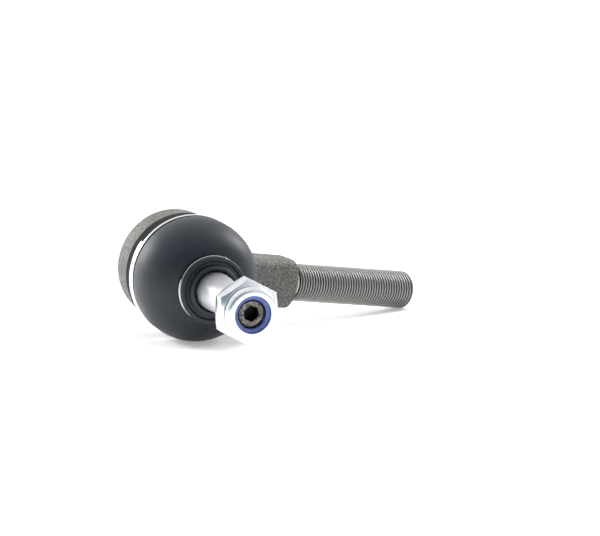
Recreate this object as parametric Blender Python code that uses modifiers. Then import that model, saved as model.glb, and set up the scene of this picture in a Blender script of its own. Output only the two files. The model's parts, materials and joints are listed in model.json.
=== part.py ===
"""Tie rod end: forged housing with a threaded shank, ball stud in a two-part seat, boot, rings and lock nut.

Metres, +Z up. The part lies on the ground plane as it does when it is put down: on the dome of its dust boot
and on the last crest of the shank's thread, the shank towards +X and the ball stud towards -Y.
Every piece is modelled on the joint's own axes, which the empty "ball_joint" carries: its origin is the
centre of the ball, +Z runs out along the ball stud, and the shank leaves towards +X.
"""

import math

import bmesh
import bpy
from mathutils import Matrix, Vector

MM = 0.001
GAP = 0.3 * MM  # between two neighbouring pieces
CUTTERS = "tie_rod_end_cutters"
CUT_PAST = 2.0 * MM  # how far a cutter runs beyond the face it opens
CREST_ROOM = 0.1 * MM  # how far a thread's envelope stands outside its crests
THREAD_DEPTH = 0.6134  # of a metric outside thread, in pitches

# Ball stud
BALL_RADIUS = 15.0 * MM
BALL_FLAT_DEPTH = 1.4 * MM
STUD_NECK_RADIUS = 6.5 * MM
STUD_NECK_SLOPE = 2.0
STUD_SHOULDER_RADIUS = 8.0 * MM
SHOULDER_INSIDE_BOOT = 3.0 * MM
SHOULDER_PAST_SEAL = 0.2 * MM
TAPER_LENGTH = 22.5 * MM
TAPER_RATIO = 1.0 / 8.0  # of the diameter
TAPER_END_CHAMFER = 0.5 * MM
STUD_THREAD_RADIUS = 6.0 * MM
STUD_THREAD_PITCH = 1.5 * MM
STUD_THREAD_LENGTH = 17.3 * MM
STUD_RELIEF_LENGTH = 2.0 * MM
STUD_RELIEF_DEPTH = 0.1 * MM
STUD_END_CHAMFER = 1.2 * MM
SOCKET_ACROSS_FLATS = 6.0 * MM
SOCKET_DEPTH = 6.5 * MM
SOCKET_TURN = math.radians(20.0)

# Housing cup, heights from the centre of the ball
CUP_WALL = 4.5 * MM
CUP_SHOULDER_Z = -10.2 * MM
CUP_CHAMFER = 0.8 * MM
BORE_TOP_Z = 1.0 * MM
ROLLED_LIP_THICKNESS = 0.8 * MM
ROLLED_LIP_OVERLAP = 1.6 * MM
COLLAR_WALL = 1.8 * MM
COLLAR_RIM_STEP = 0.9 * MM
COLLAR_RIM_BOTTOM_Z = 2.4 * MM
COLLAR_RIM_TOP_Z = 4.6 * MM
MOUTH_BELOW_BALL_TOP = 4.8 * MM
MOUTH_OVERLAP = 1.8 * MM
MOUTH_WALL = 4.0 * MM

# Seats, preload spring and closing plate
SEAT_WALL = 3.4 * MM
SEAT_STOP_THICKNESS = 1.5 * MM
SEAT_STOP_STEP = 0.2 * MM
SEAT_SPLIT = 0.6 * MM
LOWER_SEAT_BELOW_FLAT = 4.3 * MM  # from the ball's flat to the back of the seat
LOWER_SEAT_HOLE_RADIUS = 4.0 * MM
LOWER_SEAT_CHAMFER = 1.5 * MM
SPRING_THICKNESS = 1.1 * MM
SPRING_CONE_HEIGHT = 0.8 * MM
SPRING_HOLE_RADIUS = 9.0 * MM
SPRING_ROOM = 0.5 * MM
PLATE_THICKNESS = 2.5 * MM
PLATE_DISH_RADIUS = 10.0 * MM
PLATE_DISH_DEPTH = 0.8 * MM

# Neck and shank, distances from the centre of the ball along the shank
SHANK_LEAN = math.radians(21.35)  # back from square to the stud
NECK_HEIGHT = 21.0 * MM
NECK_THICKNESS = 17.0 * MM
NECK_CORNER = 4.0 * MM
NECK_START = 15.0 * MM
NECK_END = 54.2 * MM
NECK_TAPER_SLOPE = 1.15
NECK_END_STEP = 0.6 * MM
NECK_CLEARANCE = 1.2 * MM
SHANK_RADIUS = 8.0 * MM
SHANK_PITCH = 1.5 * MM
SHANK_END = 124.5 * MM
SHANK_END_CHAMFER = 1.4 * MM
SHANK_COLLAR_LENGTH = 1.4 * MM
SHANK_COLLAR_CHAMFER = 0.3 * MM
SHANK_RELIEF_LENGTH = 1.0 * MM
SHANK_RELIEF_DEPTH = 0.2 * MM
SHANK_ROOTING = 2.0 * MM

# Dust boot
BOOT_WALL = 2.0 * MM
BOOT_WIDEST_Z = 7.0 * MM
BOOT_BEAD_WALL = 3.5 * MM
BOOT_BEAD_CHAMFER = 0.6 * MM
BOOT_DOME_TOP_Z = 25.5 * MM
BOOT_NECK_RADIUS = 12.6 * MM
BOOT_LIP_STEP = 1.5 * MM
BOOT_LIP_THICKNESS = 1.8 * MM
BOOT_LIP_CHAMFER = 0.5 * MM
BOOT_LIP_GROOVE_RADIUS = 12.0 * MM
BOOT_LIP_GROOVE_DEPTH = 0.9 * MM
BOOT_SEAL_WALL = 2.3 * MM
BOOT_SEAL_HEIGHT = 1.6 * MM
BOOT_SEAL_CHAMFER = 0.8 * MM

# Spring rings that hold the boot: flat wire wound side by side
RING_WIRE_WIDTH = 1.7 * MM
RING_WIRE_THICKNESS = 0.9 * MM
RING_COIL_GAP = 0.5 * MM
RING_TURNS = 1.5
RING_BACK_Z = -2.0 * MM
RING_END_AZIMUTH = math.radians(160.0)
NECK_RING_WIRE_WIDTH = 0.8 * MM
NECK_RING_WIRE_THICKNESS = 1.2 * MM
NECK_RING_COIL_GAP = 0.42 * MM
NECK_RING_TURNS = 1.25
NECK_RING_END_AZIMUTH = math.radians(172.0)

# Lock nut
NUT_ACROSS_FLATS = 24.0 * MM
NUT_HEX_HEIGHT = 8.0 * MM
NUT_CROWN_HEIGHT = 4.0 * MM
NUT_PAST_STUD = 2.5 * MM
NUT_TURN = math.radians(13.0)
NUT_CHAMFER_ANGLE = math.radians(30.0)
NUT_FACE_STEP = 0.2 * MM
NUT_BORE_CHAMFER = 0.6 * MM
NUT_CROWN_STEP = 0.9 * MM
NUT_CROWN_ROUND = 2.2 * MM
NUT_CROWN_WALL = 1.7 * MM
NUT_CROWN_ROOTING = 1.0 * MM
NUT_MOUTH_RADIUS = 7.8 * MM
NUT_MOUTH_LIP = 0.9 * MM
INSERT_THICKNESS = 2.2 * MM
INSERT_CHAMFER = 0.4 * MM

# How the part lies
STUD_DIP = math.radians(4.14)
DIP_ROUNDS = 20  # in which the shank's slope settles

# Facets
FINE = 40
COARSE = 28
THREAD_STEPS = 16

# Sizes that follow: the cup round the ball
BALL_FLAT_Z = BALL_FLAT_DEPTH - BALL_RADIUS
SEAT_RADIUS = BALL_RADIUS + GAP
SEAT_OUTER_RADIUS = SEAT_RADIUS + SEAT_WALL
CUP_BORE_RADIUS = SEAT_OUTER_RADIUS + GAP
CUP_RADIUS = CUP_BORE_RADIUS + CUP_WALL
COLLAR_RADIUS = CUP_BORE_RADIUS + COLLAR_WALL
COLLAR_RIM_RADIUS = COLLAR_RADIUS + COLLAR_RIM_STEP
MOUTH_Z = BALL_RADIUS - MOUTH_BELOW_BALL_TOP
MOUTH_RADIUS = BALL_RADIUS - MOUTH_OVERLAP
SEAT_STOP_Z = MOUTH_Z - SEAT_STOP_THICKNESS
SEAT_STOP_RADIUS = BALL_RADIUS + SEAT_STOP_STEP
LOWER_SEAT_BOTTOM_Z = BALL_FLAT_Z - LOWER_SEAT_BELOW_FLAT
SPRING_TOP_Z = LOWER_SEAT_BOTTOM_Z - GAP
SPRING_BOTTOM_Z = SPRING_TOP_Z - SPRING_THICKNESS - SPRING_CONE_HEIGHT
PLATE_TOP_Z = SPRING_BOTTOM_Z - GAP
PLATE_BOTTOM_Z = PLATE_TOP_Z - PLATE_THICKNESS
ROLLED_LIP_Z = PLATE_BOTTOM_Z - GAP
CUP_BACK_Z = ROLLED_LIP_Z - ROLLED_LIP_THICKNESS

# the boot and its rings
BOOT_BEAD_INNER_RADIUS = COLLAR_RADIUS + GAP
BOOT_BEAD_RADIUS = BOOT_BEAD_INNER_RADIUS + BOOT_BEAD_WALL
BOOT_BEAD_BACK_Z = CUP_SHOULDER_Z + GAP
RING_INNER_RADIUS = BOOT_BEAD_RADIUS + GAP
RING_RADIUS = RING_INNER_RADIUS + RING_WIRE_THICKNESS
RING_HEIGHT = RING_TURNS * (RING_WIRE_WIDTH + RING_COIL_GAP) + RING_WIRE_WIDTH
RING_FRONT_Z = RING_BACK_Z + RING_HEIGHT
BOOT_RADIUS = RING_RADIUS
NECK_RING_HEIGHT = NECK_RING_TURNS * (NECK_RING_WIRE_WIDTH + NECK_RING_COIL_GAP) + NECK_RING_WIRE_WIDTH
NECK_RING_INNER_RADIUS = BOOT_NECK_RADIUS + GAP
NECK_RING_Z = BOOT_DOME_TOP_Z + GAP
BOOT_LIP_RADIUS = BOOT_NECK_RADIUS + BOOT_LIP_STEP
BOOT_LIP_Z = NECK_RING_Z + NECK_RING_HEIGHT + GAP
BOOT_LIP_TOP_Z = BOOT_LIP_Z + BOOT_LIP_THICKNESS
BOOT_SEAL_TOP_Z = BOOT_LIP_TOP_Z + BOOT_SEAL_HEIGHT
BOOT_SEAL_BORE = STUD_SHOULDER_RADIUS + GAP
BOOT_SEAL_RADIUS = BOOT_SEAL_BORE + BOOT_SEAL_WALL

# the stud
STUD_SHOULDER_Z = BOOT_DOME_TOP_Z - SHOULDER_INSIDE_BOOT
STUD_NECK_TOP_Z = STUD_SHOULDER_Z - STUD_NECK_SLOPE * (STUD_SHOULDER_RADIUS - STUD_NECK_RADIUS)
TAPER_START_Z = BOOT_SEAL_TOP_Z + SHOULDER_PAST_SEAL
TAPER_END_Z = TAPER_START_Z + TAPER_LENGTH
TAPER_END_RADIUS = STUD_SHOULDER_RADIUS - TAPER_LENGTH * TAPER_RATIO / 2
STUD_THREAD_Z = TAPER_END_Z + STUD_RELIEF_LENGTH
STUD_END_Z = STUD_THREAD_Z + STUD_THREAD_LENGTH

# the shank
SHANK_ROOT_START = NECK_END - SHANK_ROOTING
SHANK_COLLAR_END = NECK_END + SHANK_COLLAR_LENGTH
SHANK_THREAD_START = SHANK_COLLAR_END + SHANK_RELIEF_LENGTH

# and the nut
NUT_TOP_Z = STUD_END_Z + NUT_PAST_STUD
NUT_HEX_TOP_Z = NUT_TOP_Z - NUT_CROWN_HEIGHT
NUT_BEARING_Z = NUT_HEX_TOP_Z - NUT_HEX_HEIGHT
NUT_BORE_RADIUS = STUD_THREAD_RADIUS + GAP
NUT_CROWN_RADIUS = NUT_ACROSS_FLATS / 2 - NUT_CROWN_STEP
NUT_POCKET_RADIUS = NUT_CROWN_RADIUS - NUT_CROWN_WALL
NUT_MOUTH_Z = NUT_TOP_Z - NUT_MOUTH_LIP
NUT_POCKET_FLOOR_Z = NUT_MOUTH_Z - INSERT_THICKNESS - 2 * GAP


def clear_scene():
    for item in list(bpy.data.objects):
        bpy.data.objects.remove(item, do_unlink=True)


def thread_minor(major, pitch):
    """Root radius of a metric outside thread."""
    return major - THREAD_DEPTH * pitch


def material(name, color, roughness, metallic):
    made = bpy.data.materials.new(name)
    made.use_nodes = True
    shader = made.node_tree.nodes["Principled BSDF"]
    shader.inputs["Base Color"].default_value = (*color, 1.0)
    shader.inputs["Roughness"].default_value = roughness
    shader.inputs["Metallic"].default_value = metallic
    return made


def collection(name):
    made = bpy.data.collections.new(name)
    bpy.context.scene.collection.children.link(made)
    return made


def add_mesh(name, mesh, group, parent, finish=None):
    item = bpy.data.objects.new(name, mesh)
    group.objects.link(item)
    item.parent = parent
    if finish:
        mesh.materials.append(finish)
    if group.name == CUTTERS:
        item.hide_render = True
        item.display_type = "WIRE"
    return item


def outline_mesh(name, points, closed):
    mesh = bpy.data.meshes.new(name)
    count = len(points)
    edges = [(i, (i + 1) % count) for i in range(count if closed else count - 1)]
    mesh.from_pydata([(radius, 0.0, height) for radius, height in points], edges, [])
    return mesh


def turned(name, points, group, parent, finish=None, steps=FINE, closed=True):
    """Turns (radius, height) points about Z. They run down the outer side; an open row starts and ends on Z."""
    item = add_mesh(name, outline_mesh(name, points, closed), group, parent, finish)
    screw = item.modifiers.new("Turn", "SCREW")
    screw.steps = screw.render_steps = steps
    screw.use_merge_vertices = True
    screw.merge_threshold = 0.01 * MM
    screw.use_smooth_shade = True
    return item


def arc(center_radius, center_z, radius, start_deg, end_deg, count, stretch=1.0):
    """Points on a round or, with stretch in Z, an oval arc; 0 degrees is outward, 90 is up."""
    points = []
    for i in range(count + 1):
        angle = math.radians(start_deg + (end_deg - start_deg) * i / count)
        points.append((center_radius + radius * math.cos(angle), center_z + stretch * radius * math.sin(angle)))
    return points


def boolean(item, tool, operation):
    cut = item.modifiers.new(operation.title(), "BOOLEAN")
    cut.operation = operation
    cut.object = tool
    cut.solver = "EXACT"


def evaluated_mesh(item, name):
    bpy.context.view_layer.update()
    graph = bpy.context.evaluated_depsgraph_get()
    return bpy.data.meshes.new_from_object(item.evaluated_get(graph), depsgraph=graph)


def threaded_rod(name, major, pitch, start, end, parent):
    """A rod with a helical V thread, closed by a point on its axis at each end."""
    minor = thread_minor(major, pitch)
    profile = [(minor, start), (major, start - pitch / 2), (minor, start - pitch)]
    helix = turned(name, profile, bpy.data.collections[CUTTERS], parent, steps=THREAD_STEPS, closed=False)
    screw = helix.modifiers["Turn"]
    screw.screw_offset = pitch
    screw.iterations = math.ceil((end - start) / pitch) + 2
    mesh = evaluated_mesh(helix, name)
    bpy.data.objects.remove(helix)
    shape = bmesh.new()
    shape.from_mesh(mesh)
    bmesh.ops.remove_doubles(shape, verts=shape.verts, dist=0.01 * MM)
    middle = (start + end) / 2
    for side in (-1, 1):
        rim = [e for e in shape.edges if e.is_boundary and side * (e.verts[0].co.z - middle) > 0]
        tip = shape.verts.new((0.0, 0.0, sum(e.verts[0].co.z for e in rim) / len(rim)))
        for edge in rim:
            shape.faces.new((edge.verts[0], edge.verts[1], tip))
    bmesh.ops.recalc_face_normals(shape, faces=shape.faces)
    shape.to_mesh(mesh)
    shape.free()
    return add_mesh(name, mesh, bpy.data.collections[CUTTERS], parent)


def spring_ring(name, inner_radius, wire, coil_gap, turns, back_z, end_azimuth, group, parent, finish):
    """Flat wire wound side by side, in one unbroken strip; wire is (width along Z, thickness)."""
    width, thickness = wire
    pitch = width + coil_gap
    outer_radius = inner_radius + thickness
    corners = [(outer_radius, back_z + width), (outer_radius, back_z), (inner_radius, back_z)]
    corners.append((inner_radius, back_z + width))
    strip = turned(name, corners, group, parent)
    strip.rotation_euler.z = end_azimuth
    screw = strip.modifiers["Turn"]
    screw.angle = 2 * math.pi * turns
    screw.screw_offset = pitch * turns
    screw.steps = screw.render_steps = round(FINE * turns)
    mesh = evaluated_mesh(strip, name)
    bpy.data.objects.remove(strip)
    shape = bmesh.new()
    shape.from_mesh(mesh)
    bmesh.ops.holes_fill(shape, edges=[e for e in shape.edges if e.is_boundary], sides=4)
    bmesh.ops.recalc_face_normals(shape, faces=shape.faces)
    shape.to_mesh(mesh)
    shape.free()
    ring = add_mesh(name, mesh, group, parent, finish)
    ring.rotation_euler.z = end_azimuth
    gap = least_gap([vertex.co for vertex in mesh.vertices], len(corners) * FINE // 2)
    print(f"{name}: {turns} turns, least gap to itself, measured on its points, {gap / MM:.2f} mm")
    return ring


def least_gap(points, apart):
    """Least distance between two points of a wound strip that are at least so many points apart along it."""
    return min((points[j] - points[i]).length for i in range(len(points)) for j in range(i + apart, len(points)))


def resting_matrix():
    """Turns the joint's axes to where the part lies: on the boot's oval dome and on the shank's last crest."""
    level, tilt = math.cos(STUD_DIP), math.sin(STUD_DIP)
    dome = math.hypot((BOOT_RADIUS - BOOT_NECK_RADIUS) * level, (BOOT_DOME_TOP_Z - BOOT_WIDEST_Z) * tilt)
    height = BOOT_NECK_RADIUS * level + BOOT_WIDEST_Z * tilt + dome
    last_crest = SHANK_END - SHANK_END_CHAMFER
    dip = 0.0
    for _ in range(DIP_ROUNDS):
        dip = math.asin((height - SHANK_RADIUS * math.cos(dip)) / last_crest)
    stud_z = -math.sin(STUD_DIP)
    stud_x = (-math.sin(SHANK_LEAN) + stud_z * math.sin(dip)) / math.cos(dip)
    stud = Vector((stud_x, -math.sqrt(1.0 - stud_x**2 - stud_z**2), stud_z))
    shank = Vector((math.cos(dip), 0.0, -math.sin(dip)))
    side = stud.cross(shank).normalized()
    return Matrix((side.cross(stud), side, stud)).transposed().to_4x4()


def bore_tool(parent):
    """The cup's bore from the rolled lip to the mouth, with the cone that stops the upper seat."""
    lip_radius = CUP_BORE_RADIUS - ROLLED_LIP_OVERLAP
    points = [
        (0.0, MOUTH_Z + CUT_PAST),
        (MOUTH_RADIUS, MOUTH_Z + CUT_PAST),
        (MOUTH_RADIUS, SEAT_STOP_Z),
        (SEAT_STOP_RADIUS, SEAT_STOP_Z),
        (CUP_BORE_RADIUS, BORE_TOP_Z),
        (CUP_BORE_RADIUS, ROLLED_LIP_Z),
        (lip_radius, ROLLED_LIP_Z),
        (lip_radius, CUP_BACK_Z - CUT_PAST),
        (0.0, CUP_BACK_Z - CUT_PAST),
    ]
    return turned("bore_tool", points, bpy.data.collections[CUTTERS], parent, closed=False)


def neck_tool(parent, shank_axis):
    """The forged neck: a rounded bar that ends in a cone, cut clear of the boot and its ring."""
    length = NECK_END - NECK_START
    tools = bpy.data.collections[CUTTERS]
    mesh = bpy.data.meshes.new("neck_tool")
    shape = bmesh.new()
    size = Matrix.Diagonal((NECK_THICKNESS, NECK_HEIGHT, length, 1.0))
    place = Matrix.Translation((0.0, 0.0, NECK_START + length / 2))
    bmesh.ops.create_cube(shape, size=1.0, matrix=place @ size)
    along = [e for e in shape.edges if abs((e.verts[0].co - e.verts[1].co).z) > length / 2]
    bmesh.ops.bevel(shape, geom=along, offset=NECK_CORNER, segments=3, affect="EDGES", profile=0.5)
    shape.to_mesh(mesh)
    shape.free()
    neck = add_mesh("neck_tool", mesh, tools, shank_axis)
    reach = NECK_HEIGHT
    cone = [
        (0.0, NECK_END),
        (SHANK_RADIUS + NECK_END_STEP, NECK_END),
        (reach, NECK_END - (reach - SHANK_RADIUS) / NECK_TAPER_SLOPE),
        (reach, 0.0),
        (0.0, 0.0),
    ]
    boolean(neck, turned("neck_cone", cone, tools, shank_axis, closed=False), "INTERSECT")
    clear_radius = RING_RADIUS + NECK_CLEARANCE
    clear_z = BOOT_BEAD_BACK_Z - NECK_CLEARANCE
    room = [(0.0, BOOT_DOME_TOP_Z), (clear_radius, BOOT_DOME_TOP_Z), (clear_radius, clear_z), (0.0, clear_z)]
    boolean(neck, turned("boot_room", room, tools, parent, closed=False), "DIFFERENCE")
    return neck


def shank_tool(shank_axis):
    """The round shank: collar, relief groove and the thread with its chamfered end."""
    tools = bpy.data.collections[CUTTERS]
    groove = thread_minor(SHANK_RADIUS, SHANK_PITCH) - SHANK_RELIEF_DEPTH
    points = [
        (0.0, SHANK_THREAD_START + SHANK_PITCH),
        (groove, SHANK_THREAD_START + SHANK_PITCH),
        (groove, SHANK_COLLAR_END + SHANK_COLLAR_CHAMFER),
        (SHANK_RADIUS - SHANK_COLLAR_CHAMFER, SHANK_COLLAR_END),
        (SHANK_RADIUS, SHANK_COLLAR_END - SHANK_COLLAR_CHAMFER),
        (SHANK_RADIUS, SHANK_ROOT_START),
        (0.0, SHANK_ROOT_START),
    ]
    shank = turned("shank_tool", points, tools, shank_axis, steps=COARSE, closed=False)
    thread = threaded_rod("shank_thread", SHANK_RADIUS, SHANK_PITCH, SHANK_THREAD_START, SHANK_END, shank_axis)
    envelope = [
        (0.0, SHANK_END),
        (SHANK_RADIUS - SHANK_END_CHAMFER, SHANK_END),
        (SHANK_RADIUS + CREST_ROOM, SHANK_END - SHANK_END_CHAMFER - CREST_ROOM),
        (SHANK_RADIUS + CREST_ROOM, SHANK_THREAD_START),
        (0.0, SHANK_THREAD_START),
    ]
    boolean(thread, turned("shank_envelope", envelope, tools, shank_axis, closed=False), "INTERSECT")
    boolean(shank, thread, "UNION")
    return shank


def forged_housing(group, parent, shank_axis, finish):
    top_radius = MOUTH_RADIUS + MOUTH_WALL
    points = [
        (0.0, MOUTH_Z),
        (top_radius, MOUTH_Z),
        (COLLAR_RIM_RADIUS - CUP_CHAMFER, COLLAR_RIM_TOP_Z),
        (COLLAR_RIM_RADIUS, COLLAR_RIM_TOP_Z - CUP_CHAMFER),
        (COLLAR_RIM_RADIUS, COLLAR_RIM_BOTTOM_Z),
        (COLLAR_RADIUS, COLLAR_RIM_BOTTOM_Z),
        (COLLAR_RADIUS, CUP_SHOULDER_Z),
        (CUP_RADIUS - CUP_CHAMFER / 2, CUP_SHOULDER_Z),
        (CUP_RADIUS, CUP_SHOULDER_Z - CUP_CHAMFER / 2),
        (CUP_RADIUS, CUP_BACK_Z + CUP_CHAMFER),
        (CUP_RADIUS - CUP_CHAMFER, CUP_BACK_Z),
        (0.0, CUP_BACK_Z),
    ]
    housing = turned("forged_housing", points, group, parent, finish, closed=False)
    boolean(housing, neck_tool(parent, shank_axis), "UNION")
    boolean(housing, bore_tool(parent), "DIFFERENCE")
    boolean(housing, shank_tool(shank_axis), "UNION")
    return housing


def ball_stud(group, parent, finish):
    tools = bpy.data.collections[CUTTERS]
    flat_deg = math.degrees(math.asin(BALL_FLAT_Z / BALL_RADIUS))
    neck_deg = math.degrees(math.acos(STUD_NECK_RADIUS / BALL_RADIUS))
    root = thread_minor(STUD_THREAD_RADIUS, STUD_THREAD_PITCH) - STUD_RELIEF_DEPTH
    thread_foot = STUD_THREAD_Z + STUD_THREAD_PITCH
    points = [
        (0.0, thread_foot),
        (root, thread_foot),
        (root, TAPER_END_Z + TAPER_END_CHAMFER),
        (TAPER_END_RADIUS - TAPER_END_CHAMFER, TAPER_END_Z),
        (TAPER_END_RADIUS, TAPER_END_Z - TAPER_END_CHAMFER),
        (STUD_SHOULDER_RADIUS, TAPER_START_Z),
        (STUD_SHOULDER_RADIUS, STUD_SHOULDER_Z),
        (STUD_NECK_RADIUS, STUD_NECK_TOP_Z),
    ]
    points += arc(0.0, 0.0, BALL_RADIUS, neck_deg, flat_deg, 12)
    points.append((0.0, BALL_FLAT_Z))
    stud = turned("ball_stud", points, group, parent, finish, steps=COARSE, closed=False)
    thread = threaded_rod("stud_thread", STUD_THREAD_RADIUS, STUD_THREAD_PITCH, STUD_THREAD_Z, STUD_END_Z,
                          parent)
    chamfer_radius = STUD_THREAD_RADIUS - STUD_END_CHAMFER
    envelope = [
        (0.0, STUD_END_Z),
        (chamfer_radius, STUD_END_Z),
        (STUD_THREAD_RADIUS + CREST_ROOM, STUD_END_Z - STUD_END_CHAMFER - CREST_ROOM),
        (STUD_THREAD_RADIUS + CREST_ROOM, STUD_THREAD_Z),
        (0.0, STUD_THREAD_Z),
    ]
    boolean(thread, turned("stud_envelope", envelope, tools, parent, closed=False), "INTERSECT")
    boolean(stud, thread, "UNION")
    socket = hexagon("socket_tool", SOCKET_ACROSS_FLATS, SOCKET_TURN, STUD_END_Z - SOCKET_DEPTH,
                     STUD_END_Z + CUT_PAST, tools, parent)
    boolean(stud, socket, "DIFFERENCE")
    return stud


def hexagon(name, across_flats, turn, bottom, top, group, parent, finish=None):
    mesh = bpy.data.meshes.new(name)
    shape = bmesh.new()
    radius = across_flats / math.sqrt(3.0)
    place = Matrix.Translation((0.0, 0.0, (bottom + top) / 2)) @ Matrix.Rotation(turn, 4, "Z")
    bmesh.ops.create_cone(shape, cap_ends=True, segments=6, radius1=radius, radius2=radius,
                          depth=top - bottom, matrix=place)
    shape.to_mesh(mesh)
    shape.free()
    return add_mesh(name, mesh, group, parent, finish)


def upper_seat(group, parent, finish):
    """The bearing half on the stud's side, held by the cone of the housing."""
    top = SEAT_STOP_Z - GAP
    bottom = SEAT_SPLIT / 2
    slope = (CUP_BORE_RADIUS - SEAT_STOP_RADIUS) / (SEAT_STOP_Z - BORE_TOP_Z)
    inset = GAP * math.hypot(1.0, slope)
    cone_radius = CUP_BORE_RADIUS - (top - BORE_TOP_Z) * slope - inset
    top_deg = math.degrees(math.asin(top / SEAT_RADIUS))
    bottom_deg = math.degrees(math.asin(bottom / SEAT_RADIUS))
    points = [(cone_radius, top), (SEAT_OUTER_RADIUS, BORE_TOP_Z - GAP / 2), (SEAT_OUTER_RADIUS, bottom)]
    points += arc(0.0, 0.0, SEAT_RADIUS, bottom_deg, top_deg, 4)
    return turned("upper_ball_seat", points, group, parent, finish, steps=COARSE)


def lower_seat(group, parent, finish):
    """The bearing half that the preload spring pushes on, a round pocket down to its grease hole."""
    top = -SEAT_SPLIT / 2
    top_deg = math.degrees(math.asin(top / SEAT_RADIUS))
    hole_deg = -math.degrees(math.acos(LOWER_SEAT_HOLE_RADIUS / SEAT_RADIUS))
    points = [
        (SEAT_OUTER_RADIUS, top),
        (SEAT_OUTER_RADIUS, LOWER_SEAT_BOTTOM_Z + LOWER_SEAT_CHAMFER),
        (SEAT_OUTER_RADIUS - LOWER_SEAT_CHAMFER, LOWER_SEAT_BOTTOM_Z),
        (LOWER_SEAT_HOLE_RADIUS, LOWER_SEAT_BOTTOM_Z),
    ]
    points += arc(0.0, 0.0, SEAT_RADIUS, hole_deg, top_deg, 7)
    return turned("lower_ball_seat", points, group, parent, finish, steps=COARSE)


def preload_spring(group, parent, finish):
    """A disc spring: its inner edge lifts the lower seat, its outer edge stands on the closing plate."""
    outer = SEAT_OUTER_RADIUS - SPRING_ROOM
    points = [
        (outer, SPRING_BOTTOM_Z + SPRING_THICKNESS),
        (outer, SPRING_BOTTOM_Z),
        (SPRING_HOLE_RADIUS, SPRING_TOP_Z - SPRING_THICKNESS),
        (SPRING_HOLE_RADIUS, SPRING_TOP_Z),
    ]
    return turned("preload_disc_spring", points, group, parent, finish, steps=COARSE)


def closing_plate(group, parent, finish):
    """The dished plate that the rolled lip of the cup holds in."""
    dish_z = PLATE_TOP_Z - PLATE_DISH_DEPTH
    points = [
        (0.0, dish_z),
        (PLATE_DISH_RADIUS - PLATE_DISH_DEPTH, dish_z),
        (PLATE_DISH_RADIUS, PLATE_TOP_Z),
        (SEAT_OUTER_RADIUS, PLATE_TOP_Z),
        (SEAT_OUTER_RADIUS, PLATE_BOTTOM_Z),
        (0.0, PLATE_BOTTOM_Z),
    ]
    return turned("closing_plate", points, group, parent, finish, closed=False)


def dust_boot(group, parent, finish):
    """The rubber boot: bead round the collar, dome, and a lip that seals on the stud."""
    ring_seat_z = RING_FRONT_Z + GAP
    dome_height = BOOT_DOME_TOP_Z - BOOT_WIDEST_Z
    dome_reach = BOOT_RADIUS - BOOT_NECK_RADIUS
    rim_clear = COLLAR_RIM_RADIUS + GAP
    groove_floor = BOOT_LIP_TOP_Z - BOOT_LIP_GROOVE_DEPTH
    outer = [
        (BOOT_SEAL_BORE + BOOT_SEAL_CHAMFER, BOOT_SEAL_TOP_Z),
        (BOOT_SEAL_RADIUS - BOOT_SEAL_CHAMFER, BOOT_SEAL_TOP_Z),
        (BOOT_SEAL_RADIUS, BOOT_SEAL_TOP_Z - BOOT_SEAL_CHAMFER),
        (BOOT_SEAL_RADIUS, groove_floor),
        (BOOT_LIP_GROOVE_RADIUS, groove_floor),
        (BOOT_LIP_GROOVE_RADIUS + BOOT_LIP_CHAMFER, BOOT_LIP_TOP_Z),
        (BOOT_LIP_RADIUS - BOOT_LIP_CHAMFER, BOOT_LIP_TOP_Z),
        (BOOT_LIP_RADIUS, BOOT_LIP_TOP_Z - BOOT_LIP_CHAMFER),
        (BOOT_LIP_RADIUS, BOOT_LIP_Z),
        (BOOT_NECK_RADIUS, BOOT_LIP_Z),
    ]
    dome = arc(BOOT_NECK_RADIUS, BOOT_WIDEST_Z, dome_reach, 84, 0, 8, dome_height / dome_reach)
    bead = [
        (BOOT_RADIUS, ring_seat_z),
        (BOOT_BEAD_RADIUS, ring_seat_z),
        (BOOT_BEAD_RADIUS, BOOT_BEAD_BACK_Z + BOOT_BEAD_CHAMFER),
        (BOOT_BEAD_RADIUS - BOOT_BEAD_CHAMFER, BOOT_BEAD_BACK_Z),
        (BOOT_BEAD_INNER_RADIUS, BOOT_BEAD_BACK_Z),
        (BOOT_BEAD_INNER_RADIUS, COLLAR_RIM_BOTTOM_Z - GAP),
        (rim_clear, COLLAR_RIM_BOTTOM_Z - GAP),
        (rim_clear, COLLAR_RIM_TOP_Z + GAP),
    ]
    inner_reach = dome_reach - BOOT_WALL
    inner_height = dome_height - BOOT_WALL
    inside = arc(BOOT_NECK_RADIUS, BOOT_WIDEST_Z, inner_reach, 0, 90, 5, inner_height / inner_reach)
    seal = [(BOOT_SEAL_BORE, BOOT_DOME_TOP_Z - BOOT_WALL / 2), (BOOT_SEAL_BORE, BOOT_LIP_TOP_Z)]
    points = outer + [(BOOT_NECK_RADIUS, BOOT_DOME_TOP_Z)] + dome + bead + inside + seal
    return turned("dust_boot", points, group, parent, finish)


def nut_profile():
    """The turned form whose chamfers trim the corners of the hexagon."""
    corner = NUT_ACROSS_FLATS / math.sqrt(3.0)
    face_radius = NUT_ACROSS_FLATS / 2 - NUT_FACE_STEP
    drop = (corner - face_radius) * math.tan(NUT_CHAMFER_ANGLE)
    return [
        (0.0, NUT_HEX_TOP_Z),
        (face_radius, NUT_HEX_TOP_Z),
        (corner, NUT_HEX_TOP_Z - drop),
        (corner, NUT_BEARING_Z + drop),
        (face_radius, NUT_BEARING_Z),
        (0.0, NUT_BEARING_Z),
    ]


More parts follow.
